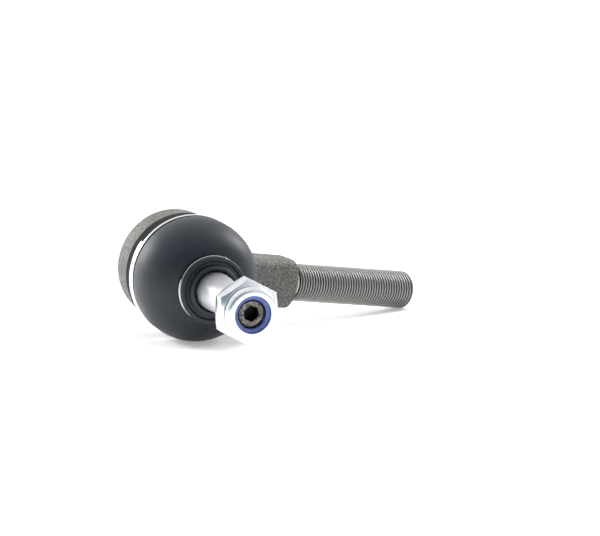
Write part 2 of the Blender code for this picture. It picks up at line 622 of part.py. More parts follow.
def lock_nut(group, parent, finish):
    tools = bpy.data.collections[CUTTERS]
    nut = hexagon("lock_nut", NUT_ACROSS_FLATS, NUT_TURN, NUT_BEARING_Z, NUT_HEX_TOP_Z, group, parent, finish)
    boolean(nut, turned("nut_chamfers", nut_profile(), tools, parent, closed=False), "INTERSECT")
    round_center = NUT_CROWN_RADIUS - NUT_CROWN_ROUND
    crown = [(0.0, NUT_TOP_Z)]
    crown += arc(round_center, NUT_TOP_Z - NUT_CROWN_ROUND, NUT_CROWN_ROUND, 90, 0, 4)
    crown_root = NUT_HEX_TOP_Z - NUT_CROWN_ROOTING
    crown += [(NUT_CROWN_RADIUS, crown_root), (0.0, crown_root)]
    boolean(nut, turned("nut_crown", crown, tools, parent, closed=False), "UNION")
    entry_radius = NUT_BORE_RADIUS + NUT_BORE_CHAMFER
    bore = [
        (0.0, NUT_TOP_Z + CUT_PAST),
        (NUT_MOUTH_RADIUS, NUT_TOP_Z + CUT_PAST),
        (NUT_MOUTH_RADIUS, NUT_MOUTH_Z),
        (NUT_POCKET_RADIUS, NUT_MOUTH_Z),
        (NUT_POCKET_RADIUS, NUT_POCKET_FLOOR_Z),
        (NUT_BORE_RADIUS, NUT_POCKET_FLOOR_Z),
        (NUT_BORE_RADIUS, NUT_BEARING_Z + NUT_BORE_CHAMFER),
        (entry_radius, NUT_BEARING_Z),
        (entry_radius, NUT_BEARING_Z - CUT_PAST),
        (0.0, NUT_BEARING_Z - CUT_PAST),
    ]
    boolean(nut, turned("nut_bore", bore, tools, parent, steps=COARSE, closed=False), "DIFFERENCE")
    return nut


def nylon_insert(group, parent, finish):
    """The ring under the crown's lip that grips the thread."""
    top = NUT_MOUTH_Z - GAP
    outer = NUT_POCKET_RADIUS - GAP
    bottom = top - INSERT_THICKNESS
    points = [
        (outer, top),
        (outer, bottom),
        (NUT_BORE_RADIUS, bottom),
        (NUT_BORE_RADIUS, top - INSERT_CHAMFER),
        (NUT_BORE_RADIUS + INSERT_CHAMFER, top),
    ]
    return turned("nylon_insert", points, group, parent, finish, steps=COARSE)


def main():
    clear_scene()
    group = collection("tie_rod_end")
    collection(CUTTERS)
    forged = material("forged_steel", (0.36, 0.36, 0.34), 0.6, 0.7)
    zinc = material("zinc_plate", (0.86, 0.88, 0.9), 0.28, 1.0)
    spring_steel = material("spring_steel", (0.82, 0.83, 0.85), 0.25, 1.0)
    rubber = material("black_rubber", (0.05, 0.055, 0.06), 0.5, 0.0)
    acetal = material("white_acetal", (0.85, 0.84, 0.8), 0.45, 0.0)
    nylon = material("blue_nylon", (0.1, 0.16, 0.45), 0.4, 0.0)

    joint = bpy.data.objects.new("ball_joint", None)
    group.objects.link(joint)
    joint.matrix_world = resting_matrix()
    shank_axis = bpy.data.objects.new("shank_axis", None)
    group.objects.link(shank_axis)
    shank_axis.parent = joint
    shank_axis.rotation_euler.y = math.pi / 2 + SHANK_LEAN

    pieces = [
        forged_housing(group, joint, shank_axis, forged),
        closing_plate(group, joint, zinc),
        preload_spring(group, joint, spring_steel),
        lower_seat(group, joint, acetal),
        upper_seat(group, joint, acetal),
        ball_stud(group, joint, zinc),
        dust_boot(group, joint, rubber),
        spring_ring("boot_spring_ring", RING_INNER_RADIUS, (RING_WIRE_WIDTH, RING_WIRE_THICKNESS),
                    RING_COIL_GAP, RING_TURNS, RING_BACK_Z, RING_END_AZIMUTH, group, joint, spring_steel),
        spring_ring("boot_neck_ring", NECK_RING_INNER_RADIUS, (NECK_RING_WIRE_WIDTH, NECK_RING_WIRE_THICKNESS),
                    NECK_RING_COIL_GAP, NECK_RING_TURNS, NECK_RING_Z, NECK_RING_END_AZIMUTH, group, joint,
                    spring_steel),
        lock_nut(group, joint, zinc),
        nylon_insert(group, joint, nylon),
    ]
    stand_on_ground(joint, pieces)


def stand_on_ground(joint, pieces):
    """Sets the lowest point of the part on z = 0, with the middle of its box over the origin."""
    bpy.context.view_layer.update()
    graph = bpy.context.evaluated_depsgraph_get()
    low = Vector((math.inf,) * 3)
    high = Vector((-math.inf,) * 3)
    for piece in pieces:
        shown = piece.evaluated_get(graph)
        for vertex in shown.data.vertices:
            place = shown.matrix_world @ vertex.co
            low = Vector(map(min, low, place))
            high = Vector(map(max, high, place))
    joint.location = (-(low.x + high.x) / 2, -(low.y + high.y) / 2, -low.z)


main()
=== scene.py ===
"""Looks of the tie rod end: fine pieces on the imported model's own axes, their finishes, and the studio."""
import json
import math

import bpy
from mathutils import Matrix, Vector


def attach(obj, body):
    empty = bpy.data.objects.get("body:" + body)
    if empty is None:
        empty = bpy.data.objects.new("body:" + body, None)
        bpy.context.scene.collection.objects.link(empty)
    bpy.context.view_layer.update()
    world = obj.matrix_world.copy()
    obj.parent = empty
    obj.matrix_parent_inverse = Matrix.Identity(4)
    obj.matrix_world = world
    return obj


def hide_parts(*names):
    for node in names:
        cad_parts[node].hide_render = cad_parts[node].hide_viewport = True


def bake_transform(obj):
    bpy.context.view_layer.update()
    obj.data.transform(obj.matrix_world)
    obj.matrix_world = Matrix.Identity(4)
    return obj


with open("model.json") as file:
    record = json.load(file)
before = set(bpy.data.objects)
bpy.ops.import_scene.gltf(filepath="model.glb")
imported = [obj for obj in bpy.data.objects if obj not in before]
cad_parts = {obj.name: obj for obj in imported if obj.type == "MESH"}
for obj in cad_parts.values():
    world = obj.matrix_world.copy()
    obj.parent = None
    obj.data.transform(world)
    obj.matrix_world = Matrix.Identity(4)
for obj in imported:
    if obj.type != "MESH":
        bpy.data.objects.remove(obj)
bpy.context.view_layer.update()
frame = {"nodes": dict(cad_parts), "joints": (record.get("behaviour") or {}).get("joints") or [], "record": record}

# ---- The joint's axes ----
# Every piece is drawn on the ball joint's own axes, with the centre of the ball at the origin and +Z out
# along the stud or along the shank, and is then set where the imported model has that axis.
MM = 0.001
GAP = 0.3 * MM  # the air between fitted pieces
EDGE = 0.1 * MM  # the unit of the widths over which one finish turns into another

joints = {joint["name"]: joint for joint in frame["joints"]}
mounts = {mount["name"]: mount for mount in frame["record"]["mounts"]}
BALL = Vector(joints["stud_swing"]["pos_m"])
STUD_AXIS = Vector(joints["stud_spin"]["axis"]).normalized()
SIDE_AXIS = Vector(joints["stud_swing"]["axis"]).normalized()
SHANK_AXIS = Vector(mounts["shank_end_face"]["axis"]).normalized()
SHANK_END = (Vector(mounts["shank_end_face"]["pos_m"]) - BALL).dot(SHANK_AXIS)
NUT_BEARING = (Vector(mounts["nut_bearing_face"]["pos_m"]) - BALL).dot(STUD_AXIS)


def standing_on(axis):
    """Carries +Z to the axis and +Y to the side of the joint, about the centre of the ball."""
    matrix = Matrix((SIDE_AXIS.cross(axis), SIDE_AXIS, axis)).transposed().to_4x4()
    matrix.translation = BALL
    return matrix


ON_STUD = standing_on(STUD_AXIS)
ON_SHANK = standing_on(SHANK_AXIS)


# ---- Forged housing ----
# One steel forging: the cup round the ball, a flat-sided neck for a spanner, and the round shank. It is
# hot-forged and shot-blasted, which rounds every corner, and then the bore and the thread are machined.
# The thread is a closed body of its own that overlaps the plain shank inside by one pitch.
CUP_RADIUS = 23.5 * MM
CUP_BACK = -24.0 * MM
CUP_SHOULDER = -10.2 * MM
CUP_CHAMFER = 0.8 * MM
COLLAR_RADIUS = 20.8 * MM
COLLAR_RIM_RADIUS = 21.7 * MM
COLLAR_RIM_BOTTOM = 2.4 * MM
COLLAR_RIM_TOP = 4.6 * MM
MOUTH_HEIGHT = 10.2 * MM
MOUTH_RADIUS = 13.2 * MM
MOUTH_RIM_RADIUS = 17.2 * MM
BORE_RADIUS = 19.0 * MM
BORE_TOP = 1.0 * MM
SEAT_STOP = 8.7 * MM
SEAT_STOP_RADIUS = 15.2 * MM
ROLLED_LIP = -23.2 * MM
ROLLED_LIP_RADIUS = 17.4 * MM
CUT_PAST = 2.0 * MM  # how far a tool reaches beyond what it cuts

NECK_THICKNESS = 17.0 * MM
NECK_HEIGHT = 21.0 * MM
NECK_START = 15.0 * MM
NECK_END = 54.2 * MM
NECK_CORNER = 4.6 * MM
NECK_CORNER_STEPS = 8
NECK_END_RADIUS = 8.6 * MM
NECK_TAPER_SLOPE = 1.7
BOOT_ROOM_RADIUS = 27.0 * MM
BOOT_ROOM_BACK = -11.1 * MM
BOOT_ROOM_FRONT = 25.5 * MM

SHANK_RADIUS = 8.0 * MM
SHANK_COLLAR_END = 55.6 * MM
SHANK_THREAD_START = 56.6 * MM
SHANK_GROOVE_RADIUS = 6.9 * MM
SHANK_END_CHAMFER = 1.4 * MM

THREAD_PITCH = 1.5 * MM  # of the shank and of the stud
THREAD_DEPTH = 0.6134 * THREAD_PITCH
THREAD_CREST = 0.125  # width of the crest's flat, in pitches
THREAD_ROOT = 0.2  # width of the root's flat, in pitches
TURNS_BEFORE = 2  # turns wound ahead of the thread's start, for its envelope to trim away
TURNS_SPARE = 3  # turns wound beyond the thread's length in all
CREST_ROOM = 0.1 * MM  # between the crests and that envelope

FORGING_VOXEL = 0.4 * MM
FORGING_SMOOTHING = 0.5
FORGING_PASSES = 2
WELD = 0.005 * MM  # closes the seam of a turned outline
SLIVER = 0.0005 * MM  # closes what a boolean leaves between two nearly equal points
ROUND = 128  # facets of a turned piece
THREAD_ROUND = 72  # facets of a threaded one
SHARP_ABOVE = math.radians(25)
SMOOTH_BELOW = math.radians(35)
SMOOTH_THREAD_BELOW = math.radians(30)
SMOOTH_WIRE_BELOW = math.radians(40)


def place(item, matrix):
    """Sets a piece on its axis and puts that place into its mesh."""
    bpy.ops.object.select_all(action="DESELECT")
    item.select_set(True)
    bpy.context.view_layer.objects.active = item
    item.matrix_world = matrix
    bpy.ops.object.transform_apply(location=True, rotation=True, scale=True)
    return item


def chain(name, points):
    """A row of vertices in the plane of X and Z, drawn point by point from (radius, height) pairs."""
    bpy.ops.object.select_all(action="DESELECT")
    bpy.ops.mesh.primitive_plane_add(size=MM, enter_editmode=True)
    bpy.ops.mesh.select_mode(type="VERT")
    bpy.ops.mesh.merge(type="CENTER")
    bpy.ops.transform.translate(value=(points[0][0], 0, points[0][1]))
    for (r0, z0), (r1, z1) in zip(points, points[1:]):
        bpy.ops.mesh.extrude_region_move(TRANSFORM_OT_translate={"value": (r1 - r0, 0, z1 - z0)})
    bpy.ops.object.mode_set(mode="OBJECT")
    item = bpy.context.object
    item.name = item.data.name = name
    return item


def merge_and_face_out():
    """Closes the seams of the mesh in edit mode and turns its faces outwards."""
    bpy.ops.mesh.select_all(action="SELECT")
    bpy.ops.mesh.remove_doubles(threshold=WELD)
    bpy.ops.mesh.normals_make_consistent(inside=False)
    bpy.ops.object.mode_set(mode="OBJECT")


def lathe(name, outline, matrix, facets=ROUND):
    """Spins an outline about +Z; one that doesn't start and end on the axis repeats its first point."""
    item = chain(name, outline)
    bpy.ops.object.mode_set(mode="EDIT")
    bpy.ops.mesh.select_all(action="SELECT")
    bpy.ops.mesh.spin(steps=facets, angle=2 * math.pi, center=(0, 0, 0), axis=(0, 0, 1))
    merge_and_face_out()
    return place(item, matrix)


def arc(center_radius, center_height, radius, start_deg, end_deg, count, stretch=1.0):
    """Points on a round, or with stretch an oval, arc; 0 degrees is outward and 90 is up."""
    points = []
    for i in range(count + 1):
        angle = math.radians(start_deg + (end_deg - start_deg) * i / count)
        points.append((center_radius + radius * math.cos(angle),
                       center_height + stretch * radius * math.sin(angle)))
    return points


def modify(item, kind, **settings):
    """Adds a modifier with its settings and applies it."""
    bpy.ops.object.select_all(action="DESELECT")
    item.select_set(True)
    bpy.context.view_layer.objects.active = item
    modifier = item.modifiers.new(kind.title(), kind)
    for name, value in settings.items():
        setattr(modifier, name, value)
    bpy.ops.object.modifier_apply(modifier=modifier.name)


def cut(item, tool, operation="DIFFERENCE"):
    """Applies an exact boolean, takes the tool away and closes the slivers."""
    modify(item, "BOOLEAN", operation=operation, object=tool, solver="EXACT")
    bpy.data.objects.remove(tool)
    bpy.ops.object.mode_set(mode="EDIT")
    bpy.ops.mesh.select_all(action="SELECT")
    bpy.ops.mesh.remove_doubles(threshold=SLIVER)
    bpy.ops.object.mode_set(mode="OBJECT")


def join(item, other):
    """Makes two closed bodies that overlap one object."""
    bpy.ops.object.select_all(action="DESELECT")
    other.select_set(True)
    item.select_set(True)
    bpy.context.view_layer.objects.active = item
    bpy.ops.object.join()
    bpy.ops.object.shade_smooth_by_angle(angle=SMOOTH_THREAD_BELOW)


def soften(item, width, segments=2):
    """Breaks the sharp edges and shades the rest smooth."""
    modify(item, "BEVEL", limit_method="ANGLE", angle_limit=SHARP_ABOVE, width=width, segments=segments,
           use_clamp_overlap=True)
    bpy.ops.object.shade_smooth_by_angle(angle=SMOOTH_BELOW)


def threaded_rod(name, major, start, end, matrix):
    """A rod with a helical thread, its ends drawn to a point on the axis; an envelope trims it."""
    minor = major - THREAD_DEPTH
    flank = (1 - THREAD_CREST - THREAD_ROOT) / 2
    stations = [(minor, 0), (minor, THREAD_ROOT), (major, THREAD_ROOT + flank),
                (major, THREAD_ROOT + flank + THREAD_CREST), (minor, 1)]
    rod = chain(name, [(radius, start + (share - TURNS_BEFORE) * THREAD_PITCH) for radius, share in stations])
    modify(rod, "SCREW", angle=2 * math.pi, screw_offset=THREAD_PITCH, steps=THREAD_ROUND,
           render_steps=THREAD_ROUND, iterations=math.ceil((end - start) / THREAD_PITCH) + TURNS_SPARE,
           use_merge_vertices=True, merge_threshold=WELD)
    middle = (start + end) / 2
    for side in (-1, 1):
        bpy.ops.object.mode_set(mode="EDIT")
        bpy.ops.mesh.select_all(action="SELECT")
        bpy.ops.mesh.remove_doubles(threshold=WELD)
        bpy.ops.mesh.select_all(action="DESELECT")
        bpy.ops.mesh.select_mode(type="EDGE")
        bpy.ops.mesh.select_non_manifold()
        bpy.ops.object.mode_set(mode="OBJECT")
        for edge in rod.data.edges:
            if side * (rod.data.vertices[edge.vertices[0]].co.z - middle) < 0:
                edge.select = False
        bpy.ops.object.mode_set(mode="EDIT")
        bpy.ops.mesh.extrude_region_move(TRANSFORM_OT_translate={"value": (0, 0, side * THREAD_PITCH)})
        bpy.ops.mesh.merge(type="CENTER")
        bpy.ops.object.mode_set(mode="OBJECT")
    bpy.ops.object.mode_set(mode="EDIT")
    merge_and_face_out()
    return place(rod, matrix)


def select_edges(item, wanted):
    """In edit mode, selects the edges whose two ends satisfy the test."""
    bpy.ops.mesh.select_mode(type="EDGE")
    bpy.ops.mesh.select_all(action="DESELECT")
    bpy.ops.object.mode_set(mode="OBJECT")
    for edge in item.data.edges:
        edge.select = wanted(*(item.data.vertices[i].co for i in edge.vertices))
    bpy.ops.object.mode_set(mode="EDIT")


cup_outline = [
    (0, MOUTH_HEIGHT),
    (MOUTH_RIM_RADIUS, MOUTH_HEIGHT),
    (COLLAR_RIM_RADIUS - CUP_CHAMFER, COLLAR_RIM_TOP),
    (COLLAR_RIM_RADIUS, COLLAR_RIM_TOP - CUP_CHAMFER),
    (COLLAR_RIM_RADIUS, COLLAR_RIM_BOTTOM),
    (COLLAR_RADIUS, COLLAR_RIM_BOTTOM),
    (COLLAR_RADIUS, CUP_SHOULDER),
    (CUP_RADIUS - CUP_CHAMFER / 2, CUP_SHOULDER),
    (CUP_RADIUS, CUP_SHOULDER - CUP_CHAMFER / 2),
    (CUP_RADIUS, CUP_BACK + CUP_CHAMFER),
    (CUP_RADIUS - CUP_CHAMFER, CUP_BACK),
    (0, CUP_BACK),
]
housing = lathe("housing_forging", cup_outline, ON_STUD)

bpy.ops.object.select_all(action="DESELECT")
bpy.ops.mesh.primitive_cube_add(size=1, enter_editmode=True)
neck = bpy.context.object
neck_length = NECK_END - NECK_START
bpy.ops.transform.resize(value=(NECK_THICKNESS, NECK_HEIGHT, neck_length))
bpy.ops.transform.translate(value=(0, 0, NECK_START + neck_length / 2))
select_edges(neck, lambda a, b: abs(a.z - b.z) > neck_length / 2)
bpy.ops.mesh.bevel(offset=NECK_CORNER, segments=NECK_CORNER_STEPS, affect="EDGES")
bpy.ops.object.mode_set(mode="OBJECT")
place(neck, ON_SHANK)
cone_reach = NECK_HEIGHT
neck_cone = [
    (0, NECK_END),
    (NECK_END_RADIUS, NECK_END),
    (cone_reach, NECK_END - (cone_reach - NECK_END_RADIUS) / NECK_TAPER_SLOPE),
    (cone_reach, 0),
    (0, 0),
]
cut(neck, lathe("neck_cone", neck_cone, ON_SHANK), "INTERSECT")
boot_room = [
    (0, BOOT_ROOM_FRONT),
    (BOOT_ROOM_RADIUS, BOOT_ROOM_FRONT),
    (BOOT_ROOM_RADIUS, BOOT_ROOM_BACK),
    (0, BOOT_ROOM_BACK),
]
cut(neck, lathe("boot_room", boot_room, ON_STUD))
cut(housing, neck, "UNION")
modify(housing, "REMESH", mode="VOXEL", voxel_size=FORGING_VOXEL)
modify(housing, "SMOOTH", factor=FORGING_SMOOTHING, iterations=FORGING_PASSES)

bore = [
    (0, MOUTH_HEIGHT + CUT_PAST),
    (MOUTH_RADIUS, MOUTH_HEIGHT + CUT_PAST),
    (MOUTH_RADIUS, SEAT_STOP),
    (SEAT_STOP_RADIUS, SEAT_STOP),
    (BORE_RADIUS, BORE_TOP),
    (BORE_RADIUS, ROLLED_LIP),
    (ROLLED_LIP_RADIUS, ROLLED_LIP),
    (ROLLED_LIP_RADIUS, CUP_BACK - CUT_PAST),
    (0, CUP_BACK - CUT_PAST),
]
cut(housing, lathe("bore", bore, ON_STUD))

shank_root = NECK_END - 2 * CUT_PAST
plain_shank_outline = [
    (0, SHANK_THREAD_START + THREAD_PITCH),
    (SHANK_GROOVE_RADIUS, SHANK_THREAD_START + THREAD_PITCH),
    (SHANK_GROOVE_RADIUS, SHANK_COLLAR_END + GAP),
    (SHANK_RADIUS - GAP, SHANK_COLLAR_END),
    (SHANK_RADIUS, SHANK_COLLAR_END - GAP),
    (SHANK_RADIUS, shank_root),
    (0, shank_root),
]
plain_shank = lathe("shank", plain_shank_outline, ON_SHANK, THREAD_ROUND)
shank_thread = threaded_rod("shank_thread", SHANK_RADIUS, SHANK_THREAD_START, SHANK_END, ON_SHANK)
shank_envelope = [
    (0, SHANK_END),
    (SHANK_RADIUS - SHANK_END_CHAMFER - GAP, SHANK_END),
    (SHANK_RADIUS - SHANK_END_CHAMFER, SHANK_END - GAP),
    (SHANK_RADIUS + CREST_ROOM, SHANK_END - SHANK_END_CHAMFER - CREST_ROOM),
    (SHANK_RADIUS + CREST_ROOM, SHANK_THREAD_START),
    (0, SHANK_THREAD_START),
]
cut(shank_thread, lathe("shank_envelope", shank_envelope, ON_SHANK, THREAD_ROUND), "INTERSECT")
cut(housing, plain_shank, "UNION")
join(housing, shank_thread)


def add_node(tree, kind, links=None, **settings):
    """A node with its settings; links gives an input a plain value or another node's output."""
    made = tree.nodes.new("ShaderNode" + kind)
    for name, value in settings.items():
        setattr(made, name, value)
    for name, value in (links or {}).items():
        if isinstance(value, bpy.types.NodeSocket):
            tree.links.new(value, made.inputs[name])
        else:
            made.inputs[name].default_value = value
    return made


def new_group(name, inputs, outputs):
    """A shader node group with named inputs, given as {name: default}, and named outputs."""
    tree = bpy.data.node_groups.new(name, "ShaderNodeTree")
    for label, default in inputs.items():
        kind = "NodeSocketVector" if isinstance(default, tuple) else "NodeSocketFloat"
        socket = tree.interface.new_socket(label, in_out="INPUT", socket_type=kind)
        socket.default_value = default
    for label in outputs:
        tree.interface.new_socket(label, in_out="OUTPUT", socket_type="NodeSocketFloat")
    return tree, tree.nodes.new("NodeGroupInput"), tree.nodes.new("NodeGroupOutput")


def new_material(name, roughness, metallic):
    """A material with only its Principled shader; returns its tree and that shader."""
    made = bpy.data.materials.new(name)
    made.use_nodes = True
    shader = made.node_tree.nodes["Principled BSDF"]
    shader.inputs["Roughness"].default_value = roughness
    shader.inputs["Metallic"].default_value = metallic
    return made, made.node_tree, shader


def use_group(tree, group, **values):
    """Places a node group in a material; underscores in the names stand for spaces."""
    made = add_node(tree, "Group")
    made.node_tree = group
    for name, value in values.items():
        made.inputs[name.replace("_", " ").capitalize()].default_value = value
    return made


def ramp(tree, factor, *stops):
    """Colours at places from 0 to 1."""
    made = add_node(tree, "ValToRGB", {"Fac": factor})
    made.color_ramp.elements.remove(made.color_ramp.elements[1])
    made.color_ramp.elements[0].position = stops[0][0]
    made.color_ramp.elements[0].color = (*stops[0][1], 1)
    for position, colour in stops[1:]:
        made.color_ramp.elements.new(position).color = (*colour, 1)
    return made.outputs["Color"]


def mix_colour(tree, factor, first, second):
    """Mixes two colours or colour outputs by a mask."""
    return add_node(tree, "MixRGB", {"Fac": factor, "Color1": first, "Color2": second}).outputs["Color"]


def relief(tree, shader, height, distance, strength):
    """Lets a grain raise the surface a little."""
    made = add_node(tree, "Bump", {"Height": height, "Distance": distance, "Strength": strength})
    tree.links.new(made.outputs["Normal"], shader.inputs["Normal"])


def vary(tree, factor, low, high, socket):
    """Drives a shader's input from low, where the mask is 0, to high, where it is 1."""
    made = add_node(tree, "MapRange", {"Value": factor, "To Min": low, "To Max": high})
    tree.links.new(made.outputs["Result"], socket)


def maths(tree, operation, first, second):
    """The result of an operation on two masks or values."""
    return add_node(tree, "Math", {0: first, 1: second}, operation=operation).outputs[0]


# The grain of every finish: a fine speckle and slow patches, both from 0 to 1. Scales are waves per metre.
FINE_SCALE, FINE_DETAIL = 2500.0, 3.0
PATCH_SCALE, PATCH_DETAIL = 180.0, 2.0
GRAIN_ROUGHNESS = 0.6
PATCH_LOW, PATCH_HIGH = 0.35, 0.65  # between which the patches go from one colour to the other

grain_group, grain_in, grain_out = new_group("grain", {"Fine scale": FINE_SCALE, "Patch scale": PATCH_SCALE},
                                             ["Fine", "Patch"])
grain_at = add_node(grain_group, "TexCoord").outputs["Object"]
for grain_name, grain_detail in (("Fine", FINE_DETAIL), ("Patch", PATCH_DETAIL)):
    grain_noise = add_node(grain_group, "TexNoise", {
        "Vector": grain_at, "Scale": grain_in.outputs[grain_name + " scale"], "Detail": grain_detail,
        "Roughness": GRAIN_ROUGHNESS})
    grain_group.links.new(grain_noise.outputs["Fac"], grain_out.inputs[grain_name])

# Where a point lies on an axis: how far along it, and how far from it.
axis_group, axis_in, axis_out = new_group("on_axis", {"Origin": (0.0, 0.0, 0.0), "Axis": (0.0, 0.0, 1.0)},
                                          ["Along", "Away"])
axis_at = add_node(axis_group, "TexCoord").outputs["Object"]
axis_from = add_node(axis_group, "VectorMath", {0: axis_at, 1: axis_in.outputs["Origin"]},
                     operation="SUBTRACT").outputs["Vector"]
axis_along = add_node(axis_group, "VectorMath", {0: axis_from, 1: axis_in.outputs["Axis"]},
                      operation="DOT_PRODUCT")
axis_across = add_node(axis_group, "VectorMath", {0: axis_from, 1: axis_in.outputs["Axis"]},
                       operation="CROSS_PRODUCT")
axis_away = add_node(axis_group, "VectorMath", {0: axis_across.outputs["Vector"]}, operation="LENGTH")
axis_group.links.new(axis_along.outputs["Value"], axis_out.inputs["Along"])
axis_group.links.new(axis_away.outputs["Value"], axis_out.inputs["Away"])


def mask(tree, value, start, end):
    """Rises smoothly from 0 at start to 1 at end."""
    return add_node(tree, "MapRange", {"Value": value, "From Min": start, "From Max": end},
                    interpolation_type="SMOOTHSTEP").outputs["Result"]


FORGED_DARK = (0.055, 0.054, 0.049)
FORGED_MIDDLE = (0.14, 0.138, 0.129)
FORGED_LIGHT = (0.31, 0.307, 0.288)
FORGED_STAIN = (0.7, 0.7, 0.68)
FORGED_CLEAN = (1.0, 1.0, 1.0)
FORGED_ROUGHNESS, FORGED_METAL, FORGED_RELIEF = 0.66, 0.15, 0.12 * MM
MACHINED_ROUGHNESS, MACHINED_METAL = 0.4, 0.55
# Painted light on the shank's thread: its roots are painted dark as shade and its crests light as a highlight.
THREAD_GROOVE_PAINTED_SHADE = (0.07, 0.069, 0.064)
THREAD_FLANK = (0.14, 0.138, 0.13)
THREAD_CREST_PAINTED_HIGHLIGHT = (0.5, 0.495, 0.475)

forged, forged_tree, forged_shader = new_material("blasted_forging", FORGED_ROUGHNESS, FORGED_METAL)
forged_grain = use_group(forged_tree, grain_group, fine_scale=1500.0, patch_scale=70.0)
forged_colour = ramp(forged_tree, forged_grain.outputs["Fine"],
                     (0.34, FORGED_DARK), (0.5, FORGED_MIDDLE), (0.68, FORGED_LIGHT))
forged_patch = ramp(forged_tree, forged_grain.outputs["Patch"],
                    (PATCH_LOW, FORGED_STAIN), (PATCH_HIGH, FORGED_CLEAN))
forged_colour = add_node(forged_tree, "MixRGB", {"Fac": 1.0, "Color1": forged_colour, "Color2": forged_patch},
                         blend_type="MULTIPLY").outputs["Color"]
on_shank = use_group(forged_tree, axis_group, origin=BALL, axis=SHANK_AXIS)
# The thread's painted shade and highlight follow the distance from the shank's axis, from root to crest.
shank_crest = mask(forged_tree, on_shank.outputs["Away"], SHANK_RADIUS - THREAD_DEPTH, SHANK_RADIUS)
thread_painted_light = ramp(forged_tree, shank_crest,
                     (0.0, THREAD_GROOVE_PAINTED_SHADE), (0.65, THREAD_FLANK), (1.0, THREAD_CREST_PAINTED_HIGHLIGHT))
machined = mask(forged_tree, on_shank.outputs["Along"], NECK_END + 2 * EDGE, NECK_END + 6 * EDGE)
forged_tree.links.new(mix_colour(forged_tree, machined, forged_colour, thread_painted_light),
                      forged_shader.inputs["Base Color"])
vary(forged_tree, machined, FORGED_ROUGHNESS, MACHINED_ROUGHNESS, forged_shader.inputs["Roughness"])
vary(forged_tree, machined, FORGED_METAL, MACHINED_METAL, forged_shader.inputs["Metallic"])
relief(forged_tree, forged_shader, forged_grain.outputs["Fine"], FORGED_RELIEF, 0.5)


def finish_piece(item, material, body, node):
    """Gives a piece its one material and its body, and hides the imported node it stands for."""
    item.data.materials.clear()
    item.data.materials.append(material)
    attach(item, body)
    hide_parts(node)


finish_piece(housing, forged, "housing", "forged_housing")


# ---- Closing plate, seats and disc spring ----
# The plated steel disc that the rolled lip holds in, the two acetal halves round the ball, and the spring
# strip that presses them. Only the plate shows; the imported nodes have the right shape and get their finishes.
def plain_finish(name, dark, light, roughness, metallic, fine_scale, grain_height):
    """A finish that varies gently from one colour to another, with a little relief."""
    made, tree, shader = new_material(name, roughness, metallic)
    grain = use_group(tree, grain_group, fine_scale=fine_scale, patch_scale=120.0)
    colour = ramp(tree, grain.outputs["Patch"], (PATCH_LOW, dark), (PATCH_HIGH, light))
    tree.links.new(colour, shader.inputs["Base Color"])
    relief(tree, shader, grain.outputs["Fine"], grain_height, 0.4)
    return made


plate_finish = plain_finish("plated_disc", dark=(0.4, 0.41, 0.4), light=(0.52, 0.52, 0.5), roughness=0.42,
                            metallic=0.8, fine_scale=900.0, grain_height=0.03 * MM)
spring_finish = plain_finish("spring_strip", dark=(0.55, 0.56, 0.57), light=(0.68, 0.68, 0.68), roughness=0.3,
                             metallic=1.0, fine_scale=1200.0, grain_height=0.02 * MM)
acetal_finish = plain_finish("moulded_acetal", dark=(0.8, 0.79, 0.74), light=(0.86, 0.85, 0.81),
                             roughness=0.45, metallic=0.0, fine_scale=700.0, grain_height=0.03 * MM)
for node_name, node_finish in (("closing_plate", plate_finish), ("preload_disc_spring", spring_finish),
                               ("upper_ball_seat", acetal_finish), ("lower_ball_seat", acetal_finish)):
    node_mesh = frame["nodes"][node_name].data
    node_mesh.materials.clear()
    node_mesh.materials.append(node_finish)


# ---- Ball stud ----
# A turned and rolled steel stud: ball, neck, ground shoulder and taper, relief and M12 thread. A hexagon
# socket in its end holds it while the nut is tightened. The taper is bright; thread and end are dark with
# phosphate, the thread's roots are painted darker still as shade, and the socket is painted near black as
# shade. The thread is a closed body of its own that overlaps the relief inside by one pitch.
BALL_RADIUS = 15.0 * MM
BALL_FLAT = -13.6 * MM
STUD_NECK_RADIUS = 6.5 * MM
STUD_SHOULDER_RADIUS = 8.0 * MM
STUD_SHOULDER = 22.5 * MM
STUD_NECK_TOP = 19.5 * MM
STUD_THREAD_RADIUS = 6.0 * MM
STUD_THREAD_LENGTH = 17.3 * MM
STUD_RELIEF_LENGTH = 2.0 * MM
STUD_RELIEF_DEPTH = 0.1 * MM  # below the thread's root
STUD_ROUND = 96
BALL_STEPS = 32
STUD_END_CHAMFER = 0.95 * MM
TAPER_END_CHAMFER = 0.5 * MM
TAPER_LENGTH = 22.5 * MM
TAPER_RATIO = 1 / 8
NUT_HEX_HEIGHT = 8.0 * MM
NUT_CROWN_HEIGHT = 4.0 * MM
NUT_PAST_STUD = 2.5 * MM
SOCKET_ACROSS_FLATS = 6.0 * MM
SOCKET_DEPTH = 6.5 * MM
SOCKET_TURN = math.radians(20)

STUD_END = NUT_BEARING + NUT_HEX_HEIGHT + NUT_CROWN_HEIGHT - NUT_PAST_STUD
STUD_THREAD_START = STUD_END - STUD_THREAD_LENGTH
TAPER_END = STUD_THREAD_START - STUD_RELIEF_LENGTH
TAPER_START = TAPER_END - TAPER_LENGTH
TAPER_END_RADIUS = STUD_SHOULDER_RADIUS - TAPER_LENGTH * TAPER_RATIO / 2
STUD_RELIEF_RADIUS = STUD_THREAD_RADIUS - THREAD_DEPTH - STUD_RELIEF_DEPTH

